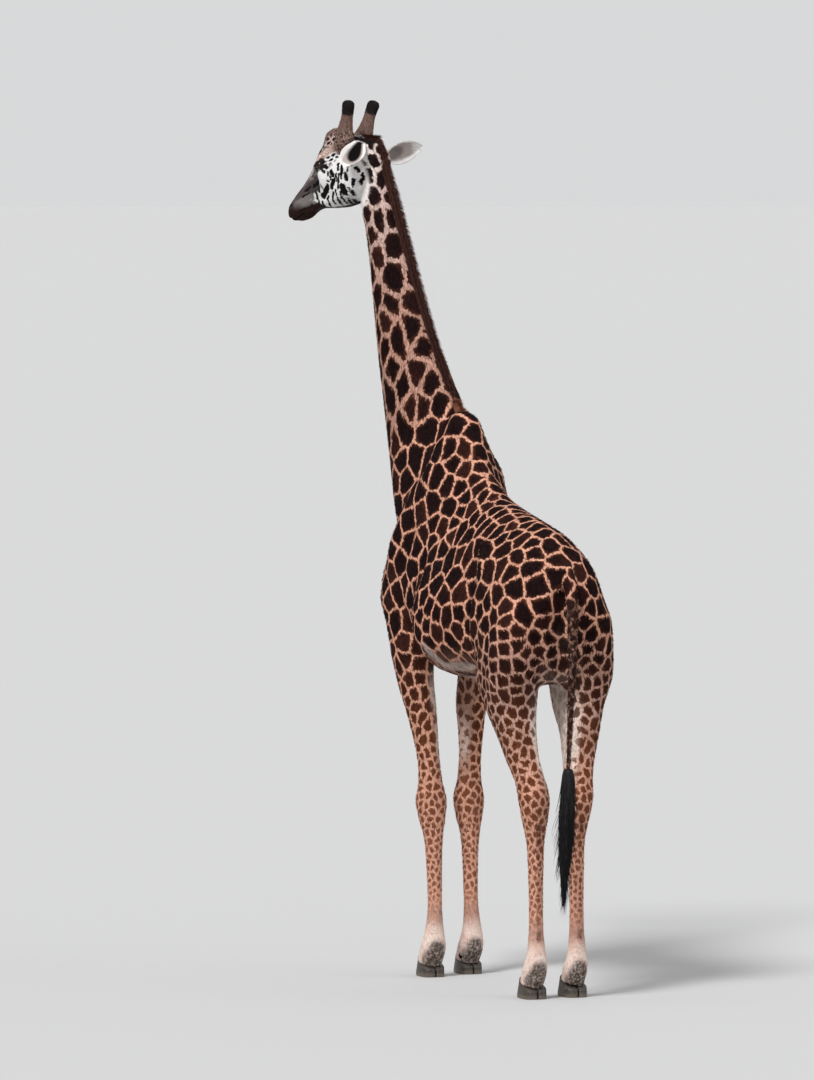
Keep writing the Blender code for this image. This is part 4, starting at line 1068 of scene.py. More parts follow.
# ------------------------------------------------------------- hair that grows
# The side of a lock's own patch of the chart, and how far a lock's middle lifts.
PATCH = 0.003
LOCK_CURL = 0.05
HAIR_INPUTS = (
    ("Lock", "Object"), ("Density", "Float"), ("Scale Spread", "Float"), ("Lift", "Float"),
    ("Lift Spread", "Float"), ("Swing", "Float"), ("Seed", "Int"), ("Hair", "Material"),
)


def blade_mesh(name, rings, tip, length, across):
    """A closed blade along +X through rings of points to its tip. across gives the
    place over the width of its own patch of the chart, from its Y."""
    bm = bmesh.new()
    rows = [[bm.verts.new(p) for p in ring] for ring in rings]
    end = bm.verts.new(tip)
    count = len(rows[0])
    bm.faces.new(rows[0][::-1])
    for low, high in zip(rows, rows[1:]):
        for a in range(count):
            b = (a + 1) % count
            bm.faces.new((low[a], low[b], high[b], high[a]))
    for a in range(count):
        bm.faces.new((rows[-1][a], rows[-1][(a + 1) % count], end))
    bmesh.ops.triangulate(bm, faces=bm.faces)
    bmesh.ops.recalc_face_normals(bm, faces=bm.faces)
    mesh = mesh_of(name, bm)
    points, _ = mesh_arrays(mesh)
    share = points[:, 0] / length
    patch = np.column_stack([share, across(points[:, 1]), np.zeros(len(points))]) * PATCH
    store(mesh, "lock_uv", "FLOAT_VECTOR", "POINT", patch)
    store(mesh, "along", "FLOAT", "POINT", share)
    return mesh


def lock_mesh(length, width, thickness, rings):
    """One lock: a three-sided blade from its root to its tip, with +Z away from the
    skin. Its middle lifts and its tip falls back."""
    rows = []
    for k in range(rings):
        share = k / rings
        wide = width / 2 * (1 - 0.72 * share**1.6) * (0.62 + min(share * 2.4, 0.38))
        rise = LOCK_CURL * length * math.sin(math.pi * min(share * 0.9, 1.0))
        thick = thickness * (1 - 0.6 * share)
        corners = ((-wide, 0.0), (wide, 0.0), (0.0, thick))
        rows.append([(length * share, y, rise + z) for y, z in corners])
    tip = (length, 0.0, LOCK_CURL * length * 0.25)
    return blade_mesh("lock", rows, tip, length, lambda y: (y / width + 0.5) * 0.5)


def hair_tree():
    """Scatters locks over a surface, lays them along it and makes them one mesh."""
    tree = bpy.data.node_groups.new("Hair locks", "GeometryNodeTree")
    face = tree.interface
    face.new_socket("Geometry", in_out="INPUT", socket_type="NodeSocketGeometry")
    sockets = {
        name: face.new_socket(name, in_out="INPUT", socket_type="NodeSocket" + kind)
        for name, kind in HAIR_INPUTS
    }
    face.new_socket("Geometry", in_out="OUTPUT", socket_type="NodeSocketGeometry")
    n = Nodes(tree)
    given = n.add("NodeGroupInput").outputs

    def named(name, kind="FLOAT_VECTOR"):
        inputs = {"Name": name}
        return n.made("GeometryNodeInputNamedAttribute", inputs, data_type=kind)["Attribute"]

    def kept(geometry, name, value, kind="FLOAT_VECTOR", domain="POINT"):
        inputs = {"Geometry": geometry, "Name": name, "Value": value}
        return n.made("GeometryNodeStoreNamedAttribute", inputs, data_type=kind, domain=domain)[0]

    def chance(low, high, offset):
        node = n.add("FunctionNodeRandomValue", data_type="FLOAT")
        usable = [s for s in node.inputs if s.enabled]
        for socket, value in zip(usable, (low, high)):
            n.feed(socket, value)
        n.feed(usable[-1], n.plus(given["Seed"], offset))
        return [s for s in node.outputs if s.enabled][0]

    density = n.times(given["Density"], named("growth", "FLOAT"))
    inputs = {"Mesh": given["Geometry"], "Density": density, "Seed": given["Seed"]}
    spread = n.made("GeometryNodeDistributePointsOnFaces", inputs, distribute_method="RANDOM")
    position = n.add("GeometryNodeInputPosition").outputs[0]
    points = kept(spread["Points"], "root_pos", position)
    points = kept(points, "root_uv", named("OFBake"))
    align = "FunctionNodeAlignRotationToVector"
    upright = n.made(align, {"Vector": spread["Normal"]}, axis="Z")[0]
    lay = n.made(align, {"Rotation": upright, "Vector": named("lie")}, axis="X", pivot_axis="Z")[0]
    swing = chance(n.times(given["Swing"], -1.0), given["Swing"], 1)
    lift = n.plus(given["Lift"], chance(0.0, given["Lift Spread"], 2))
    angle = n.made("ShaderNodeCombineXYZ", {"Y": n.times(lift, -1.0), "Z": swing})[0]
    by = n.made("FunctionNodeEulerToRotation", {0: angle})[0]
    inputs = {"Rotation": lay, "Rotate By": by}
    turn = n.made("FunctionNodeRotateRotation", inputs, rotation_space="LOCAL")[0]
    unlike = given["Scale Spread"]
    size = chance(n.minus(1.0, unlike), n.plus(1.0, unlike), 3)
    size = n.times(size, named("length", "FLOAT"))
    model = n.made("GeometryNodeObjectInfo", {"Object": given["Lock"]})["Geometry"]
    inputs = {"Points": points, "Instance": model, "Rotation": turn, "Scale": size}
    placed = n.made("GeometryNodeInstanceOnPoints", inputs)[0]
    real = n.made("GeometryNodeRealizeInstances", {0: placed})[0]
    chart = n.vector("ADD", named("root_uv"), named("lock_uv"))
    whole = kept(real, "OFBake", chart, "FLOAT2", "CORNER")
    inputs = {"Geometry": whole, "Material": given["Hair"]}
    n.feed(n.add("NodeGroupOutput").inputs[0], n.made("GeometryNodeSetMaterial", inputs)[0])
    tree["sockets"] = {name: socket.identifier for name, socket in sockets.items()}
    return tree


def grow(name, surface, lock, slot, finish, seed, density, unlike, lift, lift_spread, swing):
    """Grows one piece of hair on a surface that carries growth, length and lie."""
    tree = bpy.data.node_groups.get("Hair locks") or hair_tree()
    shape = add_object(name + "_lock", lock)
    piece = add_object(name, surface.copy())
    modifier = piece.modifiers.new("Hair", "NODES")
    modifier.node_group = tree
    values = {
        "Lock": shape, "Hair": finish, "Seed": seed, "Density": density, "Scale Spread": unlike,
        "Lift": lift, "Lift Spread": lift_spread, "Swing": swing,
    }
    for key, value in values.items():
        modifier[tree["sockets"][key]] = value
    mesh = evaluated(piece, name)
    drop(piece)
    drop(shape)
    for spare in ("root_uv", "lock_uv", "growth", "length", "lie"):
        old = mesh.attributes.get(spare)
        if old is not None:
            mesh.attributes.remove(old)
    if not mesh.polygons:
        raise RuntimeError(f"no hair grew for {name}")
    piece = add_object(name, mesh)
    mesh.materials.clear()
    mesh.materials.append(finish)
    return finish_piece(piece, slot)


# ------------------------------------------------------------------ materials
class Nodes:
    """Short ways to add and link shader nodes in one tree."""

    def __init__(self, tree):
        self.tree = tree

    def add(self, kind, **settings):
        node = self.tree.nodes.new(kind)
        for key, value in settings.items():
            setattr(node, key, value)
        return node

    def feed(self, socket, value):
        if isinstance(value, bpy.types.NodeSocket):
            self.tree.links.new(value, socket)
        else:
            socket.default_value = value

    def math(self, kind, *values, clamp=False):
        node = self.add("ShaderNodeMath", operation=kind, use_clamp=clamp)
        for socket, value in zip(node.inputs, values):
            self.feed(socket, value)
        return node.outputs[0]

    def times(self, a, b):
        return self.math("MULTIPLY", a, b)

    def plus(self, a, b):
        return self.math("ADD", a, b)

    def minus(self, a, b):
        return self.math("SUBTRACT", a, b)

    def made(self, kind, inputs, **settings):
        """The outputs of a new node with these inputs."""
        node = self.add(kind, **settings)
        for key, value in inputs.items():
            self.feed(node.inputs[key], value)
        return node.outputs

    def apart(self, vector):
        return self.made("ShaderNodeSeparateXYZ", {0: vector})

    def together(self, *values):
        return self.made("ShaderNodeCombineXYZ", dict(enumerate(values)))[0]

    def vector(self, kind, *values):
        node = self.add("ShaderNodeVectorMath", operation=kind)
        for socket, value in zip(node.inputs, values):
            self.feed(socket, value)
        return node.outputs["Value" if kind in ("LENGTH", "DOT_PRODUCT") else 0]

    def scaled(self, vector, factor):
        node = self.add("ShaderNodeVectorMath", operation="SCALE")
        self.feed(node.inputs[0], vector)
        self.feed(node.inputs["Scale"], factor)
        return node.outputs[0]

    def mix(self, share, a, b):
        node = self.add("ShaderNodeMix", data_type="RGBA")
        self.feed(node.inputs["Factor"], share)
        for socket, value in zip([s for s in node.inputs if s.type == "RGBA"], (a, b)):
            self.feed(socket, value)
        return [s for s in node.outputs if s.type == "RGBA"][0]

    def attribute(self, name):
        return self.add("ShaderNodeAttribute", attribute_name=name).outputs

    def noise(self, vector, scale, detail=2.0, roughness=0.55):
        node = self.add("ShaderNodeTexNoise")
        self.feed(node.inputs["Vector"], vector)
        node.inputs["Scale"].default_value = scale
        node.inputs["Detail"].default_value = detail
        node.inputs["Roughness"].default_value = roughness
        return node.outputs

    def range(self, value, low, high, to_low=0.0, to_high=1.0, smooth=True):
        node = self.add("ShaderNodeMapRange")
        node.interpolation_type = "SMOOTHSTEP" if smooth else "LINEAR"
        for socket, given in zip(node.inputs, (value, low, high, to_low, to_high)):
            self.feed(socket, given)
        return node.outputs["Result"]

    def warped(self, vector, scale, size, detail=2.0):
        """The vector moved about by a soft noise of that size."""
        spread = self.noise(vector, scale, detail)["Color"]
        centred = self.vector("SUBTRACT", spread, (0.5, 0.5, 0.5))
        return self.vector("ADD", vector, self.scaled(centred, size))


def new_material(name):
    made = bpy.data.materials.new(name)
    made.use_nodes = True
    return made, Nodes(made.node_tree), made.node_tree.nodes["Principled BSDF"]


def bump(nodes, shader, height, strength, distance):
    node = nodes.add("ShaderNodeBump")
    node.inputs["Strength"].default_value = strength
    node.inputs["Distance"].default_value = distance
    nodes.feed(node.inputs["Height"], height)
    nodes.tree.links.new(node.outputs[0], shader.inputs["Normal"])


def coat_group(look):
    """The coat's colour from the patches' middles that each point is nearest to."""
    tree = bpy.data.node_groups.new("Giraffe coat", "ShaderNodeTree")
    tree.interface.new_socket("Colour", in_out="OUTPUT", socket_type="NodeSocketColor")
    tree.interface.new_socket("Relief", in_out="OUTPUT", socket_type="NodeSocketFloat")
    n = Nodes(tree)
    root = n.attribute("root_pos")["Vector"]
    stretch = n.attribute("stretch")["Vector"]
    shape = n.add("ShaderNodeSeparateColor")
    tone_at = n.attribute("tone")
    n.feed(shape.inputs[0], tone_at["Color"])
    pale, strong, width = shape.outputs
    ash = tone_at["Alpha"]
    grain = n.range(width, 0.004, 0.009, 0.45, 1.0, smooth=False)
    slow = n.vector("SUBTRACT", n.noise(root, 11.0, 2.0)["Color"], (0.5, 0.5, 0.5))
    quick = n.vector("SUBTRACT", n.noise(root, 42.0, 2.0)["Color"], (0.5, 0.5, 0.5))
    warp = n.vector("ADD", n.scaled(slow, look.wander), n.scaled(quick, look.jag))
    spot = n.vector("ADD", root, n.scaled(warp, grain))
    first = second = identity = None
    for k in range(SEEDS):
        seed = n.attribute(f"seed_{k}")
        away = n.vector("SUBTRACT", spot, seed["Color"])
        along = n.vector("DOT_PRODUCT", away, stretch)
        square = n.minus(n.vector("DOT_PRODUCT", away, away), n.times(along, along))
        distance = n.math("SQRT", n.math("MAXIMUM", square, 0.0))
        if first is None:
            first, second, identity = distance, 9.0, seed["Alpha"]
            continue
        nearer = n.math("LESS_THAN", distance, first)
        kept = n.times(identity, n.minus(1.0, nearer))
        identity = n.plus(kept, n.times(seed["Alpha"], nearer))
        second = n.math("MINIMUM", second, n.math("MAXIMUM", first, distance))
        first = n.math("MINIMUM", first, distance)
    edge = n.times(n.minus(second, first), 0.5)
    nick = n.minus(n.noise(root, 70.0, 2.0, 0.6)["Fac"], 0.5)
    nick = n.times(n.times(nick, look.nicks), grain)
    inside = n.plus(n.minus(edge, width), nick)
    patch = n.range(inside, -0.0015, 0.0018)
    # The patch itself: darkest in its middle, with its own shade of brown, and
    # rusty on the legs.
    rust = n.range(n.apart(root)[2], 1.80, 0.80)
    age = n.plus(n.times(identity, 0.55), n.times(n.noise(root, 6.0)["Fac"], 0.5))
    brown = n.mix(n.range(age, 0.48, 1.02), (*look.patch_dark, 1), (*look.patch_brown, 1))
    brown = n.mix(n.times(rust, 0.92), brown, (*look.patch_low, 1))
    rim = n.times(n.range(inside, 0.0, 0.014, 1.0, 0.0), 0.30)
    brown = n.mix(n.times(rim, n.minus(1.0, ash)), brown, (*look.patch_low, 1))
    brown = n.mix(ash, brown, (*look.face_black, 1))
    # The ground between: orange on the back and legs, peach on the neck, pale below
    # and nearly white on the face.
    ground = n.mix(n.range(pale, 0.02, 0.40), (*look.ground_back, 1), (*look.ground_neck, 1))
    ground = n.mix(n.range(pale, 0.42, 0.95), ground, (*look.ground_pale, 1))
    clear = n.minus(1.0, ash)
    stain = n.times(n.range(n.noise(root, 23.0, 3.0)["Fac"], 0.38, 0.74, 0.0, 0.34), clear)
    ground = n.mix(stain, ground, (*look.ground_back, 1))
    ground = n.mix(ash, ground, (*look.face_white, 1))
    colour = n.mix(n.times(patch, strong), ground, brown)
    # Hairs of slightly different shade.
    hairs = n.noise(root, 260.0, 2.0, 0.7)["Fac"]
    shade = n.range(hairs, 0.25, 0.75, 0.80, 1.14, smooth=False)
    mark = n.attribute("mark")
    # The edges of the painted marks break up along the hair.
    turn = HEAD_FRAME.to_3x3()
    fine = zip((turn.col[0], turn.col[1], turn.col[2]), (26.0, 110.0, 110.0))
    streak = n.together(*(n.vector("DOT_PRODUCT", root, tuple(axis * scale)) for axis, scale in fine))
    streak = n.minus(n.noise(streak, 1.0, 3.0, 0.65)["Fac"], 0.5)
    cover = n.plus(mark["Alpha"], n.times(streak, 1.15))
    cover = n.times(n.range(cover, 0.18, 0.82), n.range(mark["Alpha"], 0.02, 0.12))
    speckle = n.range(n.noise(root, 70.0, 3.0, 0.65)["Fac"], 0.32, 0.58, 0.45, 1.0)
    soft = n.times(mark["Alpha"], speckle)
    share = n.range(ash, 0.0, 0.4)
    cover = n.plus(n.times(cover, share), n.times(soft, n.minus(1.0, share)))
    colour = n.mix(cover, colour, mark["Color"])
    black = face_spots(n, root)
    colour = n.mix(black, colour, (*look.face_black, 1))
    outs = n.add("NodeGroupOutput")
    n.feed(outs.inputs["Colour"], n.scaled(colour, shade))
    n.feed(outs.inputs["Relief"], patch)
    return tree


def face_spots(n, root):
    """1 inside the black spots of the face, from the two spots nearest to a point."""
    turn = HEAD_FRAME.to_3x3()
    origin = HEAD_FRAME.translation + SHIFT
    ragged = n.warped(root, 62.0, 0.020)
    flat = n.together(*(
        n.minus(n.vector("DOT_PRODUCT", ragged, tuple(axis)), axis.dot(origin))
        for axis in (turn.col[0], turn.col[2])
    ))
    sizes = n.apart(n.attribute("spot_size")["Vector"])
    found = None
    for k in (0, 1):
        spot = n.attribute(f"spot_{k}")
        ends = n.add("ShaderNodeSeparateColor")
        n.feed(ends.inputs[0], spot["Color"])
        start = n.together(ends.outputs[0], ends.outputs[1])
        line = n.vector("SUBTRACT", n.together(ends.outputs[2], spot["Alpha"]), start)
        away = n.vector("SUBTRACT", flat, start)
        reach = n.math("MAXIMUM", n.vector("DOT_PRODUCT", line, line), 1e-6)
        share = n.math("DIVIDE", n.vector("DOT_PRODUCT", away, line), reach, clamp=True)
        distance = n.vector("LENGTH", n.vector("SUBTRACT", away, n.scaled(line, share)))
        inside = n.minus(sizes[k], distance)
        found = inside if found is None else n.math("MAXIMUM", found, inside)
    return n.range(found, -0.0012, 0.0012)


def coat_material(name, look, roughness, relief):
    made, n, shader = new_material(name)
    group = bpy.data.node_groups.get("Giraffe coat") or coat_group(look)
    coat = n.add("ShaderNodeGroup", node_tree=group)
    n.feed(shader.inputs["Base Color"], coat.outputs["Colour"])
    shader.inputs["Roughness"].default_value = roughness
    shader.inputs["Specular IOR Level"].default_value = 0.06
    where = n.add("ShaderNodeTexCoord").outputs["Object"]
    fine = n.noise(where, 420.0, 3.0, 0.65)["Fac"]
    broad = n.noise(where, 60.0, 3.0, 0.6)["Fac"]
    height = n.plus(n.times(fine, 0.45), n.times(broad, 0.75))
    bump(n, shader, height, relief, 0.004)
    return made


def plain_hair(
    name, root_colour, tip_colour, roughness, spread=(0.62, 1.35), turn=(0.1, 0.95), foot=None, net=None
):
    """Long hair that runs from one shade at the root to another at the tip; foot is
    the colour at its lowest roots, and the heights between which it fades. Net is the
    ground and the spots of a fine net at the lowest roots, and the same heights."""
    made, n, shader = new_material(name)
    root = n.attribute("root_pos")["Vector"]
    height = n.apart(root)[2]
    blend = n.range(n.attribute("along")["Fac"], *turn)
    colour = n.mix(blend, (*root_colour, 1), (*tip_colour, 1))
    if foot is not None:
        colour = n.mix(n.range(height, *foot[1:]), colour, (*foot[0], 1))
    if net is not None:
        cells = n.add("ShaderNodeTexVoronoi", feature="DISTANCE_TO_EDGE")
        n.feed(cells.inputs["Vector"], n.warped(root, 60.0, 0.003))
        cells.inputs["Scale"].default_value = 54.0
        spots = n.mix(n.range(cells.outputs["Distance"], 0.10, 0.17), (*net[0], 1), (*net[1], 1))
        colour = n.mix(n.range(height, *net[2:]), colour, spots)
    vary = n.range(n.noise(root, 120.0, 3.0, 0.7)["Fac"], 0.25, 0.75, *spread, smooth=False)
    n.feed(shader.inputs["Base Color"], n.scaled(colour, vary))
    shader.inputs["Roughness"].default_value = roughness
    shader.inputs["Specular IOR Level"].default_value = 0.14
    return made


def eye_finish(name, iris):
    """A wet dark eye with a brown iris and a long level pupil."""
    made, n, shader = new_material(name)
    where = n.attribute("gaze")["Vector"]
    x, _, z = n.apart(where)

    def from_middle(across):
        return n.math("SQRT", n.plus(n.times(across, across), n.times(z, z)))

    pupil, iris_edge = from_middle(n.times(x, 0.62)), from_middle(x)
    rays = n.noise(where, 34.0, 2.0)["Fac"]
    brown = n.mix(rays, (*(0.35 * v for v in iris), 1), (*iris, 1))
    colour = n.mix(n.range(pupil, 0.23, 0.29), (0.002, 0.002, 0.002, 1), brown)
    colour = n.mix(n.range(iris_edge, 0.60, 0.72), colour, (0.010, 0.006, 0.005, 1))
    n.feed(shader.inputs["Base Color"], colour)
    shader.inputs["Roughness"].default_value = 0.06
    shader.inputs["Coat Weight"].default_value = 0.45
    shader.inputs["Coat Roughness"].default_value = 0.02
    shader.inputs["Coat IOR"].default_value = 1.34
    shader.inputs["Specular IOR Level"].default_value = 0.25
    return made


def horn_finish(name, dark, pale):
    """Hoof horn: rings along its height, scuffed, dusty at the ground."""
    made, n, shader = new_material(name)
    where = n.add("ShaderNodeTexCoord").outputs["Object"]
    height = n.apart(n.warped(where, 14.0, 0.006))[2]
    rings = n.math("SINE", n.times(height, 620.0))
    streaks = n.noise(where, 95.0, 4.0, 0.65)["Fac"]
    colour = n.mix(n.range(streaks, 0.30, 0.70), (*dark, 1), (*pale, 1))
    dust = n.range(height, 0.002, 0.030, 0.30, 0.0)
    colour = n.mix(dust, colour, (0.30, 0.235, 0.18, 1))
    n.feed(shader.inputs["Base Color"], colour)
    n.feed(shader.inputs["Roughness"], n.range(streaks, 0.2, 0.8, 0.42, 0.68))
    relief = n.plus(n.times(rings, 0.35), n.times(streaks, 0.9))
    bump(n, shader, relief, 0.45, 0.002)
    return made


# ------------------------------------------------------------------- ears, tail
def ear_axes(side):
    """The ear's own directions: along it, across it, and the side it opens to."""
    sign, back, up = SIDES[side], EAR_BACK[side], EAR_UP[side]
    turn = HEAD_FRAME.to_3x3()
    level = turn @ Vector((-math.sin(back), sign * math.cos(back), 0))
    along = (level * math.cos(up) + UP * math.sin(up)).normalized()
    opens = turn @ Vector(EAR_OPENS[side])
    opens = (opens - opens.dot(along) * along).normalized()
    return along, along.cross(opens), opens


def ear_base(side):
    ahead, left, height = EAR_BASE[side]
    return HEAD_FRAME @ Vector((ahead, SIDES[side] * left, height))


def ear_mesh(side, inset):
    """A cupped ear with a rolled rim."""
    base = ear_base(side)
    along, across, opens = ear_axes(side)
    rings = []
    for share, half_width, depth, thick in spaced(EAR, 6):
        centre = base + along * (share * EAR_LENGTH)
        half = max(half_width - inset, 0.002)
        wall = max(thick - inset, 0.0025)
        outer = np.linspace(-1, 1, 17)
        inner = np.linspace(0.90, -0.90, 15)
        ring = [centre + across * half * u - opens * depth * (1 - u * u) for u in outer]
        ring += [centre + across * half * u + opens * (wall - depth) * (1 - u * u) for u in inner]
        rings.append(ring)
    return mesh_of("ear", skin_tube(rings))


def join_on(whole, mesh, name):
    """Adds a closed mesh to the skin as one surface with it."""
    other = add_object(name, mesh)
    union = whole.modifiers.new(name, "BOOLEAN")
    union.operation = "UNION"
    union.solver = "EXACT"
    union.object = other
    joined = evaluated(whole, "skin")
    whole.modifiers.clear()
    whole.data = joined
    drop(other)


def cut_at_coronet(bm, geometry, foot, past, facing):
    """Cuts along the slope that the hoof grows from, and closes the cut. Past is how
    far below the slope the cut is; facing 1 clears what is below it, -1 above."""
    normal = place(CORONET_SLOPE, 0, -1).normalized()
    found = bmesh.ops.bisect_plane(
        bm,
        geom=geometry,
        plane_co=place(foot + 0.075, 0, CORONET_Z) + normal * past,
        plane_no=normal * facing,
        clear_outer=True,
    )
    rim = [e for e in found["geom_cut"] if isinstance(e, bmesh.types.BMEdge)]
    bmesh.ops.holes_fill(bm, edges=rim)


def cut_feet(mesh):
    """Ends each leg at the slope that its hoof grows from."""
    bm = bmesh.new()
    bm.from_mesh(mesh)
    for side in SIDES:
        for kind in ("foreleg", "hindleg"):
            foot = foot_at(kind, side)
            middle = place(foot, track_of(kind, side), 0)
            faces = []
            for face in bm.faces:
                centre = face.calc_center_median()
                if centre.z < 0.20 and (centre - middle).xy.length < 0.22:
                    faces.append(face)
            edges = list(dict.fromkeys(e for f in faces for e in f.edges))
            verts = list(dict.fromkeys(v for f in faces for v in f.verts))
            cut_at_coronet(bm, verts + edges + faces, foot, -0.004, 1)
    bmesh.ops.triangulate(bm, faces=[f for f in bm.faces if len(f.verts) > 4])
    bm.to_mesh(mesh)
    bm.free()


def foot_at(kind, side):
    if kind == "foreleg":
        return FRONT_FOOT + FORELEG_STEP[side]
    return HIND_FOOT + HINDLEG_STEP[side]


def track_of(kind, side):
    return (FRONT_TRACK if kind == "foreleg" else HIND_TRACK) * SIDES[side]


def slim(mesh, by):
    """Moves a loft in along its normals."""
    points, normals = mesh_arrays(mesh)
    mesh.vertices.foreach_set("co", (points - normals * by).ravel())
    mesh.update()
    return mesh


def head_region(points):
    inside = head_points(points)
    return (inside[:, 0] > -0.05) & (inside[:, 2] > -0.24) & (points[:, 2] > 3.7)


def fine_region(points):
    inside = head_points(points)
    chosen = np.zeros(len(points), bool)
    for (x, y, z), radius in FINE_SPOTS:
        for sign in (1, -1):
            chosen |= np.linalg.norm(inside - (x, y * sign, z), axis=1) < radius
    return chosen


MOST_TRIANGLES = 198000


def make_skin(look):
    whole = rough_skin(look.voxel)
    refine(whole.data, head_region, 3)
    refine(whole.data, fine_region, 2)
    press(whole.data)
    sink(whole.data)
    tail = skin_tube(tube_rings(TAIL, UP, 16, 8))
    join_on(whole, slim(mesh_of("tail", tail), 0.004), "tail_loft")
    for side in SIDES:
        join_on(whole, ear_mesh(side, 0.0016), f"ear_loft_{side}")
    shape_lids(whole.data)
    cut_feet(whole.data)
    whole.data.calc_loop_triangles()
    if len(whole.data.loop_triangles) > MOST_TRIANGLES:
        raise RuntimeError(f"the skin has {len(whole.data.loop_triangles)} triangles")
    unwrap(whole)
    mark_skin(whole.data, look.seed)
    ear_marks(whole.data)
    whole.data.transform(Matrix.Translation(SHIFT))
    keep_places(whole.data)
    return whole


def ear_places(points):
    """Where each point is on an ear: on one or not, how far along it, how far across
    from -1 to 1, and whether it is in the cup; all in the body frame."""
    table = np.array(EAR)
    on = np.zeros(len(points), bool)
    along_it, across_it = np.zeros(len(points)), np.zeros(len(points))
    cup = np.zeros(len(points), bool)
    for side in SIDES:
        along, across, opens = (np.array(axis) for axis in ear_axes(side))
        rel = points - np.array(ear_base(side))
        share = rel @ along / EAR_LENGTH
        half, depth, thick = (np.interp(share, table[:, 0], table[:, k]) for k in (1, 2, 3))
        u = rel @ across / np.maximum(half, 0.004)
        w = rel @ opens
        here = (share > 0.03) & (share < 1.04) & (np.abs(u) < 1.25)
        here &= (w > -depth - 0.012) & (w < 0.014)
        on |= here
        along_it = np.where(here, share, along_it)
        across_it = np.where(here, u, across_it)
        cup |= here & (w > (thick * 0.5 - depth) * (1 - np.minimum(u * u, 1)))
    return on, along_it, across_it, cup


def ear_marks(mesh):
    """Paints the ears over the patches: painted shade in the hollow of the cup, pale hair in the cup, white
    rim, and painted shade on the back near the root.
    """
    points, _ = mesh_arrays(mesh)
    total = len(points)
    mark = np.empty(total * 4)
    mesh.attributes["mark"].data.foreach_get("color", mark)
    mark = mark.reshape(-1, 4)
    on, share, across, cup = ear_places(points)
    rim = np.maximum(smooth_ramp(np.abs(across), 0.62, 0.80), smooth_ramp(share, 0.70, 0.86))
    # The near-black middle of the cup is painted shade in the ear's hollow, weaker on the right ear.
    from_middle = np.sqrt(((share - 0.25) / 0.37) ** 2 + ((across - 0.05) / 0.66) ** 2)
    deep = 1 - smooth_ramp(from_middle, 0.70, 1.08)
    deep *= np.where(points[:, 0] > ear_base("left").x - 0.06, 1.0, 0.55)
    pale = np.tile((0.46, 0.40, 0.375), (total, 1))
    hollow, back, white = ((0.004, 0.003, 0.003), (0.60, 0.50, 0.46), (0.90, 0.87, 0.85))

    def over(base, colour, share):
        return base * (1 - share[:, None]) + np.array(colour) * share[:, None]

    colour = np.where(cup[:, None], over(pale, hollow, deep), np.array(back))
    # Painted shade on the back of each ear near its root.
    ear_root_painted_shade = (1 - smooth_ramp(share, 0.15, 0.45)) * ~cup * 0.6
    colour = over(over(colour, (0.13, 0.11, 0.11), ear_root_painted_shade), white, rim * np.where(cup, 1.0, 0.7))
    mark[on, :3] = colour[on]
    mark[on, 3] = 1.0
    store(mesh, "mark", "FLOAT_COLOR", "POINT", mark)
    store(mesh, "cup", "FLOAT", "POINT", (on & cup & (rim < 0.5)).astype(float))


def rows_of_value(mesh, name, total):
    values = np.empty(total)
    mesh.attributes[name].data.foreach_get("value", values)
    return values


# ------------------------------------------------------------------- the coat
def coat_region(points, name):
    """Where each piece of the coat grows, from 0 to 1."""
    points = points - np.array(SHIFT)
    head = head_share(points) > 0.45
    neck = (neck_share(points) > 0.5) & ~head
    low = points[:, 2] < 1.58
    left = points[:, 0] > 0
    fore = -points[:, 1] > 0.05
    body = ~head & ~neck
    return {
        "head_left": head & (head_points(points)[:, 1] > 0),
        "head_right": head & (head_points(points)[:, 1] <= 0),
        "neck": neck,
        "trunk_left": body & ~low & left,
        "trunk_right": body & ~low & ~left,
        "forelegs": body & low & fore,
        "hindlegs": body & low & ~fore,
    }[name]


# Piece of coat: how many locks on a square metre, length, width, lift, the share
# by which its locks differ in size.
COAT = (
    ("head_left", 40000, 0.0095, 0.0022, 0.13, 0.35),
    ("head_right", 40000, 0.0095, 0.0022, 0.13, 0.35),
    ("neck", 12000, 0.0155, 0.0038, 0.13, 0.30),
    ("trunk_left", 6500, 0.0175, 0.0046, 0.12, 0.30),
    ("trunk_right", 6500, 0.0175, 0.0046, 0.12, 0.30),
    ("forelegs", 11000, 0.0125, 0.0036, 0.12, 0.30),
    ("hindlegs", 9800, 0.0125, 0.0036, 0.12, 0.30),
)


def lock_length(points):
    """Share of the full lock: shorter on muzzle, lids and feet, longer underneath."""
    inside = head_points(points)
    head = head_share(points)
    share = np.ones(len(points))
    muzzle = smooth_ramp(inside[:, 0], 0.36, 0.58) * head
    share *= 1 - 0.58 * muzzle
    for sign in (1, -1):
        away = np.linalg.norm(inside - np.array(EYE_PLACE) * (1, sign, 1), axis=1)
        share *= 1 - 0.55 * (1 - smooth_ramp(away, 0.030, 0.055))
    share *= 1 - 0.25 * (1 - smooth_ramp(points[:, 2], 0.25, 0.8)) * (1 - head)
    share *= 1 - 0.45 * ear_places(points)[0]
    jaw = np.exp(-(((inside[:, 2] + 0.115) / 0.035) ** 2)) * smooth_ramp(inside[:, 0], 0.10, 0.22)
    return share * (1 + 0.7 * jaw * head)


def bare_spots(points):
    """0 where no hair grows: inside the lids' opening and the nostrils."""
    inside = head_points(points)
    grows = np.ones(len(points))
    for sign in (1, -1):
        away = np.linalg.norm(inside - np.array(EYE_PLACE) * (1, sign, 1), axis=1)
        grows *= smooth_ramp(away, EYE_RADIUS + 0.006, EYE_RADIUS + 0.014)
        nostril = near_line(inside, (0.574, 0.044 * sign, 0.054), (0.600, 0.034 * sign, 0.046))
        grows *= smooth_ramp(nostril, 0.006, 0.011)
    return grows


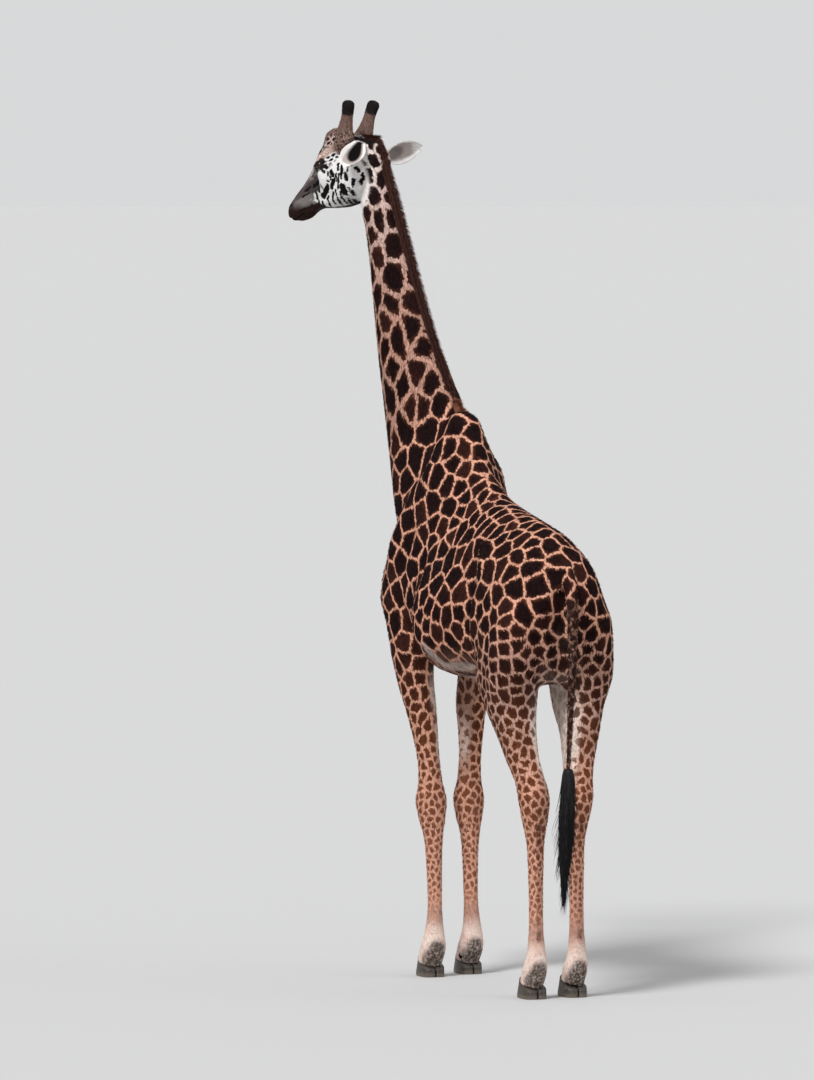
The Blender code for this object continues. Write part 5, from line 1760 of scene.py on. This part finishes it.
def prepare_growth(surface, region):
    """Leaves on the surface what the hair reads, for one piece of the coat."""
    points, _ = mesh_arrays(surface)
    moved = points - np.array(SHIFT)
    grows = coat_region(points, region).astype(float) * bare_spots(moved)
    total = len(surface.vertices)
    cup = rows_of_value(surface, "cup", total)
    grows *= 1 - 0.75 * cup
    store(surface, "growth", "FLOAT", "POINT", grows)
    store(surface, "length", "FLOAT", "POINT", lock_length(moved))


def make_coat(skin, look):
    finish = coat_material("Coat hair", look, 0.78, 0.25)
    surface = skin.data.copy()
    share = 1.0
    for number, (region, density, length, width, lift, spread) in enumerate(COAT):
        prepare_growth(surface, region)
        lock = lock_mesh(length, width, width * 0.30, 2)
        seed, thick = look.seed + 10 + number, density * share * look.density
        grow(f"coat_{region}", surface, lock, "hide", finish, seed, thick, spread, lift, 0.16, 0.26)
    bpy.data.meshes.remove(surface)


# ----------------------------------------------------------- mane and tail hair
# The foot of the mane, on the withers: forward, height, and how far back it leans.
MANE_ON_WITHERS = ((0.600, 2.866, 0.3), (0.652, 2.880, 0.6), (0.706, 2.914, 1.0))
# The top of the mane, on the head: along it, height, and how far back it leans.
MANE_ON_POLL = ((-0.044, 0.088, 1.5), (-0.010, 0.118, 0.9), (0.026, 0.148, 0.6))


def mane_bed():
    """Sections of a low ridge from the withers up the back of the neck to the poll,
    and the way out of the neck at each."""
    spine = []
    for forward, height, lean in MANE_ON_WITHERS:
        spine.append((place(forward, -0.015, height), place(-lean, 0, 1).normalized(), place(0, 1, 0)))
    for ring in tube_rings(NECK, FORWARD, 24, 4, NECK_TWIST)[10:-6]:
        spine.append((ring[18], (ring[18] - ring[6]).normalized(), (ring[0] - ring[12]).normalized()))
    turn = HEAD_FRAME.to_3x3()
    for along, height, lean in MANE_ON_POLL:
        out = turn @ Vector((-lean, 0, 1)).normalized()
        spine.append((HEAD_FRAME @ Vector((along, 0, height)), out, turn @ Vector((0, 1, 0))))
    rings, outs = [], []
    last = len(spine) - 1
    for i, (crest, out, across) in enumerate(spine):
        high = 0.019 * min(1.0, (i + 1) / 5, (last - i + 2) / 5)
        wide = 0.0100 + 0.0030 * smooth_ramp(np.array(crest.z), 3.2, 3.9)
        for k in range(9):
            turned = math.pi * k / 8
            rise = high * math.sin(turned) ** 0.8 - 0.006
            rings.append(crest + out * rise + across * (wide * math.cos(turned)))
        foot = crest - out * (0.076 - 0.050 * float(smooth_ramp(np.array(crest.z), 2.91, 3.05)))
        rings += [foot - across * 0.008, foot + across * 0.008]
        outs += [out] * 11
    return [rings[i : i + 11] for i in range(0, len(rings), 11)], np.array(outs)


def make_mane(look, finish):
    rings, outs = mane_bed()
    mesh = mesh_of("mane_bed", skin_tube(rings))
    points, normals = mesh_arrays(mesh)
    total = len(points)
    outs = np.vstack([outs, outs[[0, -1]]])
    on_ring = np.arange(total) % 11
    top = ((on_ring >= 3) & (on_ring <= 5)).astype(float)
    flank = (on_ring <= 8).astype(float) - top
    top[-2:] = flank[-2:] = 0
    height = points[:, 2]
    ends = 0.86 + 0.16 * smooth_ramp(height, 3.1, 3.9) - 0.42 * smooth_ramp(height, 4.17, 4.26)
    ends -= 0.34 * (1 - smooth_ramp(height, 2.88, 2.98))
    down = np.tile(np.array(place(-0.30, 0, -0.95)), (total, 1))
    mesh.transform(Matrix.Translation(SHIFT))
    lone = add_object("mane_ridge", mesh)
    unwrap(lone)
    lone.data.materials.append(finish)
    share = 1.0
    for number, (name, mask, way, density, lift, scale) in enumerate(
        (
            ("mane_hair", top, down, 200000.0, 0.72, 1.0),
            ("mane_sides", flank, down * 0.75 + outs, 64000.0, 0.07, 0.86),
        )
    ):
        surface = mesh.copy()
        store(surface, "growth", "FLOAT", "POINT", mask)
        store(surface, "length", "FLOAT", "POINT", ends * scale)
        store(surface, "lie", "FLOAT_VECTOR", "POINT", laid_flat(way, normals))
        lock = lock_mesh(look.mane_length, 0.0042, 0.0017, 3)
        seed, rise = look.seed + 40 + number, 0.14 - 0.06 * number
        grow(name, surface, lock, "mane_hair", finish, seed, density * share, 0.14, lift, rise, 0.13)
        bpy.data.meshes.remove(surface)
    keep_places(mesh)
    store(mesh, "along", "FLOAT", "POINT", np.zeros(total))
    return finish_piece(lone, "mane_hair", "mane")


def strand_mesh(length, thickness, sides, rings, sway, phase, fall):
    """A long tapering strand along +X from its root, with a gentle wave; its tip
    falls back towards -Z."""

    def middle(share):
        wave = sway * math.sin(3.3 * share + phase) * share
        rise = sway * math.cos(2.4 * share + phase * 1.7) * share - fall * share * share
        return Vector((length * share, wave, rise))

    rows = []
    for k in range(rings):
        radius = thickness * (1 - k / rings) ** 0.7 + thickness * 0.12
        rows.append(round_ring(middle(k / rings), Vector((0, 1, 0)), UP, radius, sides))
    across = lambda y: np.clip(y / 0.05 + 0.5, 0, 1) * 0.4
    return blade_mesh("strand", rows, middle(1.0), length, across)


# The core of the tail's tuft: height and radius.
TUFT_CORE = (
    (1.150, 0.010), (1.147, 0.020), (1.140, 0.027), (1.100, 0.034), (0.950, 0.040), (0.800, 0.038),
    (0.680, 0.029), (0.570, 0.017), (0.470, 0.006),
)


def make_tail_tuft(look, finish):
    """Long black hair from the end of the tail, over a slim core."""
    middle = np.array([(row[2], row[0], row[1]) for row in TAIL_TUFT])[::-1]
    rings = []
    for height, radius in spaced(TUFT_CORE, 5):
        forward, left = (np.interp(height, middle[:, 0], middle[:, k]) for k in (1, 2))
        turned = [2 * math.pi * k / 18 for k in range(18)]
        ring = [(forward + radius * math.cos(a), left + radius * 0.86 * math.sin(a)) for a in turned]
        rings.append([place(*at, height) for at in ring])
    mesh = mesh_of("tuft_core", skin_tube(rings))
    mesh.transform(Matrix.Translation(SHIFT))
    points, normals = mesh_arrays(mesh)
    share = ramp(-points[:, 2], -1.15, -0.47)
    lie = np.tile(np.array((0.0, 0.0, -1.0)), (len(points), 1))
    steep = np.abs(normals[:, 2]) < 0.20
    store(mesh, "growth", "FLOAT", "POINT", np.where((share < 0.80) & steep, 1.0, 0.0))
    store(mesh, "length", "FLOAT", "POINT", np.clip(1.0 - 0.45 * share, 0.25, 1.2))
    store(mesh, "lie", "FLOAT_VECTOR", "POINT", lie)
    lone = add_object("tail_core", mesh)
    unwrap(lone)
    lone.data.materials.append(finish)
    kinds = (
        (0.26, 0.014, 9000.0, 0.030, 0.05),
        (0.21, -0.018, 8600.0, 0.055, 0.10),
        (0.23, 0.034, 1500.0, 0.10, 0.20),
    )
    for number, (length, sway, density, rise, swing) in enumerate(kinds):
        lock = strand_mesh(length, 0.0016, 4, 6, sway, 1.1 + number * 2.3, 0.014)
        density *= 1.0
        seed, name = look.seed + 60 + number, f"tail_hair_{number + 1}"
        grow(name, mesh, lock, "tail_hair", finish, seed, density, 0.26, 0.0, rise, swing)
    keep_places(mesh)
    store(mesh, "along", "FLOAT", "POINT", np.full(len(points), 0.5))
    return finish_piece(lone, "tail_hair", "tail_tuft")


# ------------------------------------------------------------- eyes, lids, horns
def eye_centre(sign):
    """The middle of an eyeball, in the head's frame."""
    return Vector((EYE_PLACE[0], EYE_PLACE[1] * sign, EYE_PLACE[2]))


def eye_mesh(side):
    """The eyeball: a fine ball, with its own directions kept for the iris."""
    sign = SIDES[side]
    centre = HEAD_FRAME @ eye_centre(sign)
    bm = bmesh.new()
    bmesh.ops.create_icosphere(bm, subdivisions=5, radius=EYE_RADIUS, matrix=Matrix.Identity(4))
    turn = HEAD_FRAME.to_3x3()
    gaze = turn @ Vector((0.10, sign * 0.985, 0.06)).normalized()
    ahead = turn @ Vector((1, 0, 0))
    ahead = (ahead - ahead.dot(gaze) * gaze).normalized()
    up = gaze.cross(ahead) * sign
    local = []
    for vert in bm.verts:
        way = vert.co.normalized()
        local.append((way.dot(ahead), way.dot(gaze), way.dot(up)))
        vert.co = centre + vert.co
    mesh = mesh_of(f"eyeball_{side}", bm)
    store(mesh, "gaze", "FLOAT_VECTOR", "POINT", local)
    return mesh


def lid_curve(side, upper, count):
    """Points on the ball along the edge of a lid, in the body frame."""
    sign = SIDES[side]
    centre = eye_centre(sign)
    points = []
    for k in range(count):
        u = -0.80 + 1.60 * k / (count - 1)
        v = 0.62 * math.sqrt(max(1 - (u / 0.80) ** 2, 0.0)) * (1 if upper else -1)
        v -= 0.10 * u
        y = math.sqrt(max(1 - u * u - v * v, 0.05))
        way = Vector((u, y * sign, v)).normalized()
        points.append(HEAD_FRAME @ (centre + way * (EYE_RADIUS + 0.0014)))
    return points


def make_lids(side, finish):
    """Dark wet rims of both lids, as one piece for each eye."""
    name, rims = f"lids_{side}", ((True, 0.0021), (False, 0.0017))
    tubes = [steady_tube(lid_curve(side, upper, 26), radius, 8) for upper, radius in rims]
    return settled(name, joined_tubes(name, tubes), finish, "hide")


def make_lid_skin(side, finish):
    """Bare skin of the lids, over the ball but for an almond opening, with a fold
    above and below."""
    sign = SIDES[side]
    centre = eye_centre(sign)
    rings = []
    for k in range(48):
        turned = 2 * math.pi * k / 48
        ring = []
        for outer in (True, False):
            for step in range(9) if outer else range(8, -1, -1):
                t = step / 8
                u = (0.80 + 0.16 * t) * math.cos(turned)
                v = (0.60 + 0.37 * t) * math.sin(turned) - 0.10 * u * (1 - t)
                y = math.sqrt(max(1 - u * u - v * v, 0.03))
                fold = 0.0020 * math.exp(-(((t - 0.55) / 0.16) ** 2)) * abs(math.sin(turned))
                far = EYE_RADIUS + (0.0030 + fold - 0.0010 * t if outer else 0.0004)
                ring.append(HEAD_FRAME @ (centre + Vector((u, y * sign, v)).normalized() * far))
        rings.append(ring)
    bm = bmesh.new()
    rows = [[bm.verts.new(p) for p in ring] for ring in rings]
    for a, b in zip(rows, rows[1:] + rows[:1]):
        for k in range(18):
            j = (k + 1) % 18
            bm.faces.new((a[k], a[j], b[j], b[k]))
    bmesh.ops.recalc_face_normals(bm, faces=bm.faces)
    return settled(f"lid_skin_{side}", mesh_of(f"lid_skin_{side}", bm), finish, "hide")


def steady_tube(points, radius, sides):
    """A thin closed tube whose sides don't twist along it."""
    rings = []
    count = len(points)
    across = None
    for k, point in enumerate(points):
        along = (points[min(k + 1, count - 1)] - points[max(k - 1, 0)]).normalized()
        across = along.orthogonal() if across is None else across - across.dot(along) * along
        across = across.normalized()
        other = along.cross(across)
        here = radius * (0.35 + 0.65 * math.sin(math.pi * (k + 0.5) / count))
        rings.append(round_ring(point, across, other, here, sides))
    return rings


def make_lashes(side, finish):
    """Long lashes of the upper lid, drooping outwards."""
    sign = SIDES[side]
    outward = HEAD_FRAME.to_3x3() @ Vector((0.25, sign, -0.05)).normalized()
    droop = HEAD_FRAME.to_3x3() @ Vector((0.1, 0, -1)).normalized()
    curve = lid_curve(side, True, 34)
    tubes = []
    for k in range(3, 31):
        root = curve[k]
        length = 0.020 * (0.65 + 0.35 * math.sin(math.pi * k / 33)) * (0.9 + 0.1 * math.sin(k * 2.1))
        fan = (curve[min(k + 1, 33)] - curve[max(k - 1, 0)]).normalized() * (k - 16.5) / 22
        path = [
            root + (outward + fan) * length * t + droop * length * 0.42 * t * t
            for t in (0.0, 0.35, 0.7, 1.0)
        ]
        tubes.append(steady_tube(path, 0.00045, 4))
    name = f"lashes_{side}"
    return settled(name, joined_tubes(name, tubes), finish, "tail_hair")


def ossicone_line(side):
    ends = (OSSICONE_BASE, OSSICONE_TIP)
    return [HEAD_FRAME @ Vector((ahead, SIDES[side] * left, up)) for ahead, left, up in ends]


def make_ossicone(side, look, shaft, crown, post):
    """The horn: its skin-covered post, short dark hair up it and a black crown."""
    base, tip = ossicone_line(side)
    axis = (tip - base).normalized()
    across = axis.cross(UP).normalized()
    other = axis.cross(across)
    rings = []
    for share, radius in spaced(OSSICONE, 5):
        centre = base.lerp(tip, share)
        slim_by = 0.0045
        rings.append(
            [
                centre
                + (across * math.cos(a) + other * math.sin(a))
                * max(radius - slim_by, 0.004)
                * (1 + 0.035 * math.sin(3 * a + share * 9))
                for a in [2 * math.pi * k / 28 for k in range(28)]
            ]
        )
    mesh = mesh_of(f"horn_{side}", skin_tube(rings))
    points, normals = mesh_arrays(mesh)
    share = (points - np.array(base)) @ np.array(axis) / (tip - base).length
    up = np.tile(np.array(axis), (len(points), 1))
    lie = laid_flat(up, normals)
    mesh.transform(Matrix.Translation(SHIFT))
    top = smooth_ramp(share, 0.63, 0.70)
    store(mesh, "lie", "FLOAT_VECTOR", "POINT", lie)
    store(mesh, "length", "FLOAT", "POINT", np.ones(len(points)))
    store(mesh, "along", "FLOAT", "POINT", share)
    lone = add_object(f"horn_{side}", mesh)
    unwrap(lone)
    for name, part, finish, length, density, lift in (
        ("shaft", 1 - top, shaft, 0.0095, 55000.0, 0.12),
        ("crown", top, crown, 0.0070, 110000.0, 0.30),
    ):
        store(mesh, "growth", "FLOAT", "POINT", part)
        lock = lock_mesh(length, 0.0026, 0.0010, 2)
        density *= 1.0
        piece, seed = f"horn_{name}_{side}", look.seed + 80
        grow(piece, mesh, lock, "horn_hide", finish, seed, density, 0.25, lift, 0.25, 0.30)
    keep_places(mesh)
    lone.data.materials.append(post)
    return finish_piece(lone, "horn_hide", f"ossicone_{side}")


def make_claw(kind, side, where, finish):
    """One claw of a cloven hoof, with its worn edge and rounded wall."""
    foot = foot_at(kind, side)
    track = track_of(kind, side)
    sign = -SIDES[side] if where == "inner" else SIDES[side]
    heel = foot - 0.030
    rows = [(min(max(share, 0), 1), max(width, 0.03)) for share, width in spaced(CLAW, 4)]
    rings = []
    levels = (
        (0.0, 0.93, 0.0),
        (0.0016, 0.962, 0.0),
        (0.005, 0.982, 0.0),
        (0.014, 0.992, 0.004),
        (0.034, 0.968, 0.014),
        (0.062, 0.930, 0.030),
        (0.095, 0.890, 0.046),
        (0.130, 0.856, 0.062),
    )
    for height, size, back in levels:
        shrink = 0.0 if height > 0.004 else (0.004 - height) * 0.5
        wall, cleft = [], []
        for share, width in rows:
            forward = heel + HOOF_LENGTH * share * (1 - back * 3.2) + 0.05 * back
            forward += shrink if share < 0.5 else -shrink
            outward = CLEFT / 2 + CLAW_WIDTH * size * width
            inward = CLEFT / 2 + shrink + 0.003 * math.sin(math.pi * share)
            wall.append(place(forward, track + sign * outward, height))
            cleft.append(place(forward, track + sign * inward, height))
        rings.append(wall + cleft[::-1])
    bm = skin_tube(rings)
    cut_at_coronet(bm, bm.verts[:] + bm.edges[:] + bm.faces[:], foot, 0.0008, -1)
    bmesh.ops.triangulate(bm, faces=[f for f in bm.faces if len(f.verts) > 4])
    bmesh.ops.recalc_face_normals(bm, faces=bm.faces)
    name = f"hoof_{kind}_{side}_{where}"
    return settled(name, mesh_of(name, bm), finish, "hoof_horn", f"claw_{kind}_{side}_{where}")


# ------------------------------------------------------------------- the stage
CAMERA_PLACE = (-44.12, 17.38, 4.12)
# The level way that the camera faces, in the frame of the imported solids.
CAMERA_WAY = (-0.3665, -0.9304, 0.0)
CAMERA_YAW = math.radians(0.6)
CAMERA_PITCH = math.radians(-2.265)


def aimed(name, data, way, front):
    """An object of the stage with its front axis turned that way."""
    made = add_object(name, data)
    made.rotation_mode = "QUATERNION"
    made.rotation_quaternion = way.to_track_quat(front, "Y")
    return made


def make_stage(stage):
    scene = bpy.context.scene
    floor = bmesh.new()
    bmesh.ops.create_circle(floor, cap_ends=True, radius=900.0, segments=64)
    ground = add_object("floor", mesh_of("floor", floor))
    made, _, shader = new_material("Pale floor")
    shader.inputs["Base Color"].default_value = (*stage.floor, 1)
    shader.inputs["Roughness"].default_value = 0.85
    ground.data.materials.append(made)
    lens = bpy.data.cameras.new("camera")
    lens.lens = stage.lens
    lens.sensor_fit = "AUTO"
    lens.sensor_width = 36.0
    lens.clip_start = 1.0
    lens.clip_end = 2000.0
    aim = Vector(CAMERA_WAY) * math.cos(CAMERA_PITCH) + UP * math.sin(CAMERA_PITCH)
    scene.camera = aimed("camera", lens, Matrix.Rotation(CAMERA_YAW, 3, "Z") @ aim, "-Z")
    scene.camera.location = place(*CAMERA_PLACE) + SHIFT
    for name, where, angle, power in (
        ("key", (0.80, 0.62, 1.15), 14.0, stage.key),
        ("fill", (-0.95, 0.75, 0.45), 40.0, stage.fill),
    ):
        lamp = bpy.data.lights.new(name, "SUN")
        lamp.angle = math.radians(angle)
        lamp.energy = power
        aimed(name, lamp, Vector(where), "Z")
    world = bpy.data.worlds.new("Studio")
    scene.world = world
    world.use_nodes = True
    air = world.node_tree.nodes["Background"].inputs
    air["Color"].default_value = (*stage.sky, 1)
    air["Strength"].default_value = stage.sky_strength
    scene.view_settings.view_transform = "Standard"
    scene.view_settings.look = "None"


# ------------------------------------------------------------------- add-on part
def colour(name, description, default):
    return FloatVectorProperty(
        name=name, description=description, default=default, subtype="COLOR", size=3, min=0, max=1
    )


def length(name, description, default, low=0.0, high=1.0):
    return FloatProperty(
        name=name, description=description, default=default, min=low, max=high,
        unit="LENGTH", subtype="DISTANCE", precision=4,
    )


class GiraffeCoat(bpy.types.PropertyGroup):
    """The skin's fineness and the coat's pattern, colours and hair."""

    voxel: length("Skin grain", "Size of the faces that the skin is made of", 0.0142, 0.006, 0.04)
    seed: IntProperty(name="Pattern", description="Which pattern of patches grows", default=11, min=0)
    density: FloatProperty(
        name="Thickness of coat", description="Share of the full number of hair locks",
        default=1.0, min=0.0, max=1.4, subtype="FACTOR",
    )
    wander: length("Wander", "How far a patch's outline wanders in broad curves", 0.048)
    jag: length("Jag", "How far a patch's outline breaks into points", 0.038)
    nicks: length("Nicks", "How deep the light notches run into a patch", 0.013)
    mane_length: length("Mane hair", "Length of the hairs of the mane", 0.044, 0.01, 0.2)
    patch_dark: colour("Dark patch", "Darkest patches of the coat", (0.0100, 0.0032, 0.0034))
    patch_brown: colour("Brown patch", "Browner patches of the coat", (0.040, 0.0120, 0.0082))
    patch_low: colour("Low patch", "Patches of the legs", (0.170, 0.052, 0.022))
    face_black: colour("Face black", "Spots of the face", (0.010, 0.0070, 0.0080))
    ground_back: colour("Ground of the back", "Hair between patches on the back", (0.60, 0.310, 0.215))
    ground_neck: colour("Ground of the neck", "Hair between patches on the neck", (0.42, 0.240, 0.185))
    ground_pale: colour("Pale ground", "Hair between patches on belly and feet", (0.72, 0.585, 0.515))
    face_white: colour("Face white", "Hair between the spots of the face", (0.88, 0.860, 0.850))
    mane_root: colour("Mane at the skin", "Colour of the mane at its roots", (0.030, 0.0115, 0.0090))
    # The mane's tips are lighter than its roots as a painted highlight, where the hair catches the light.
    mane_tip_painted_highlight: colour("Mane at the tips", "Colour of the mane at its tips", (0.092, 0.036, 0.027))
    tail_colour: colour("Tail hair", "Colour of the long tail hair", (0.010, 0.009, 0.010))


class GiraffeStage(bpy.types.PropertyGroup):
    """The floor, the lights and the camera."""

    lens: FloatProperty(
        name="Lens", description="Focal length of the camera", default=316.0, min=20, max=2000, unit="CAMERA"
    )
    floor: colour("Floor", "Colour of the floor", (0.467, 0.467, 0.467))
    sky: colour("Studio air", "Colour of the light from all round", (0.985, 0.99, 1.0))
    sky_strength: FloatProperty(
        name="Air", description="Strength of the light from all round", default=0.70, min=0, max=5
    )
    key: FloatProperty(name="Key", description="Strength of the main light", default=3.0, min=0)
    fill: FloatProperty(name="Fill", description="Strength of the fill light", default=0.5, min=0)


class GIRAFFE_OT_skin(bpy.types.Operator):
    """Makes the skin in place of the head, neck, trunk, legs, tail and ears"""

    bl_idname = "giraffe.skin"
    bl_label = "Skin"

    def execute(self, context):
        look = context.scene.giraffe_coat
        skin = make_skin(look)
        skin.data.materials.clear()
        skin.data.materials.append(coat_material("Coat on the skin", look, 0.82, 0.55))
        finish_piece(skin, "hide", *FLESH)
        return {"FINISHED"}


class GIRAFFE_OT_coat(bpy.types.Operator):
    """Grows the short coat over the skin, in pieces"""

    bl_idname = "giraffe.coat"
    bl_label = "Coat"

    def execute(self, context):
        make_coat(bpy.data.objects["skin"], context.scene.giraffe_coat)
        return {"FINISHED"}


class GIRAFFE_OT_mane(bpy.types.Operator):
    """Stands the mane along the back of the neck"""

    bl_idname = "giraffe.mane"
    bl_label = "Mane"

    def execute(self, context):
        look = context.scene.giraffe_coat
        foot = ((0.30, 0.120, 0.070), 2.96, 2.88)
        # The mane runs from a dark root to tips lightened as a painted highlight.
        finish = plain_hair("Mane hair", tuple(look.mane_root), tuple(look.mane_tip_painted_highlight), 0.66, foot=foot)
        make_mane(look, finish)
        return {"FINISHED"}


class GIRAFFE_OT_tail(bpy.types.Operator):
    """Hangs the long black hair from the end of the tail"""

    bl_idname = "giraffe.tail"
    bl_label = "Tail hair"

    def execute(self, context):
        look = context.scene.giraffe_coat
        shade = tuple(look.tail_colour)
        finish = plain_hair("Tail hair", tuple(v * 0.9 for v in shade), tuple(v * 0.7 for v in shade), 0.56)
        make_tail_tuft(look, finish)
        return {"FINISHED"}


class GIRAFFE_OT_eyes(bpy.types.Operator):
    """Sets the eyes, the rims of the lids and the lashes"""

    bl_idname = "giraffe.eyes"
    bl_label = "Eyes"

    def execute(self, context):
        ball = eye_finish("Eye", (0.045, 0.018, 0.009))
        rim, n, shader = new_material("Lid rim")
        shader.inputs["Base Color"].default_value = (0.014, 0.010, 0.010, 1)
        shader.inputs["Roughness"].default_value = 0.34
        where = n.add("ShaderNodeTexCoord").outputs["Object"]
        bump(n, shader, n.noise(where, 520.0, 3.0)["Fac"], 0.4, 0.0012)
        lash = plain_hair("Lashes", (0.012, 0.009, 0.008), (0.020, 0.015, 0.013), 0.5)
        for side in SIDES:
            settled(f"eyeball_{side}", eye_mesh(side), ball, "eye", f"eye_{side}")
            make_lids(side, rim)
            make_lid_skin(side, rim)
            make_lashes(side, lash)
        return {"FINISHED"}


class GIRAFFE_OT_horns(bpy.types.Operator):
    """Sets the two ossicones with their short hair and black crowns"""

    bl_idname = "giraffe.horns"
    bl_label = "Ossicones"

    def execute(self, context):
        look = context.scene.giraffe_coat
        brown = ((0.27, 0.170, 0.142), (0.18, 0.108, 0.088), 0.75, (0.15, 1.85))
        net = ((0.40, 0.27, 0.225), (0.040, 0.022, 0.019), 4.315, 4.270)
        shaft = plain_hair("Horn hair", *brown, net=net)
        crown = plain_hair("Crown hair", (0.012, 0.010, 0.010), (0.020, 0.015, 0.014), 0.6)
        post = plain_hair(
            "Horn hide", (0.18, 0.105, 0.085), (0.012, 0.010, 0.010), 0.75, (0.4, 1.5), (0.64, 0.68)
        )
        for side in SIDES:
            make_ossicone(side, look, shaft, crown, post)
        return {"FINISHED"}


class GIRAFFE_OT_hooves(bpy.types.Operator):
    """Sets the two claws of each hoof"""

    bl_idname = "giraffe.hooves"
    bl_label = "Hooves"

    def execute(self, context):
        finish = horn_finish("Hoof horn", (0.014, 0.0100, 0.0078), (0.055, 0.040, 0.029))
        for kind in ("foreleg", "hindleg"):
            for side in SIDES:
                for where in ("inner", "outer"):
                    make_claw(kind, side, where, finish)
        return {"FINISHED"}


class GIRAFFE_OT_stage(bpy.types.Operator):
    """Sets the floor, the soft lights and the camera"""

    bl_idname = "giraffe.stage"
    bl_label = "Stage"

    def execute(self, context):
        make_stage(context.scene.giraffe_stage)
        return {"FINISHED"}


OPERATORS = (
    GIRAFFE_OT_skin,
    GIRAFFE_OT_coat,
    GIRAFFE_OT_mane,
    GIRAFFE_OT_tail,
    GIRAFFE_OT_eyes,
    GIRAFFE_OT_horns,
    GIRAFFE_OT_hooves,
    GIRAFFE_OT_stage,
)
FLESH = (
    "head", "neck", "trunk", "tail", "ear_left", "ear_right",
    "foreleg_left", "foreleg_right", "hindleg_left", "hindleg_right",
)


class GIRAFFE_PT_panel(bpy.types.Panel):
    """The giraffe's pieces, each with its own button"""

    bl_idname = "GIRAFFE_PT_panel"
    bl_label = "Giraffe"
    bl_space_type = "VIEW_3D"
    bl_region_type = "UI"
    bl_category = "Giraffe"

    def draw(self, context):
        column = self.layout.column()
        for operator in OPERATORS:
            column.operator(operator.bl_idname)
        for group in (context.scene.giraffe_coat, context.scene.giraffe_stage):
            for key in group.__annotations__:
                column.prop(group, key)


CLASSES = (GiraffeCoat, GiraffeStage, *OPERATORS, GIRAFFE_PT_panel)


def register():
    for entry in CLASSES:
        bpy.utils.register_class(entry)
    bpy.types.Scene.giraffe_coat = PointerProperty(type=GiraffeCoat)
    bpy.types.Scene.giraffe_stage = PointerProperty(type=GiraffeStage)


def unregister():
    del bpy.types.Scene.giraffe_stage
    del bpy.types.Scene.giraffe_coat
    for entry in reversed(CLASSES):
        bpy.utils.unregister_class(entry)


def main():
    register()
    for operator in OPERATORS:
        family, name = operator.bl_idname.split(".")
        getattr(getattr(bpy.ops, family), name)()


if __name__ == "__main__":
    main()
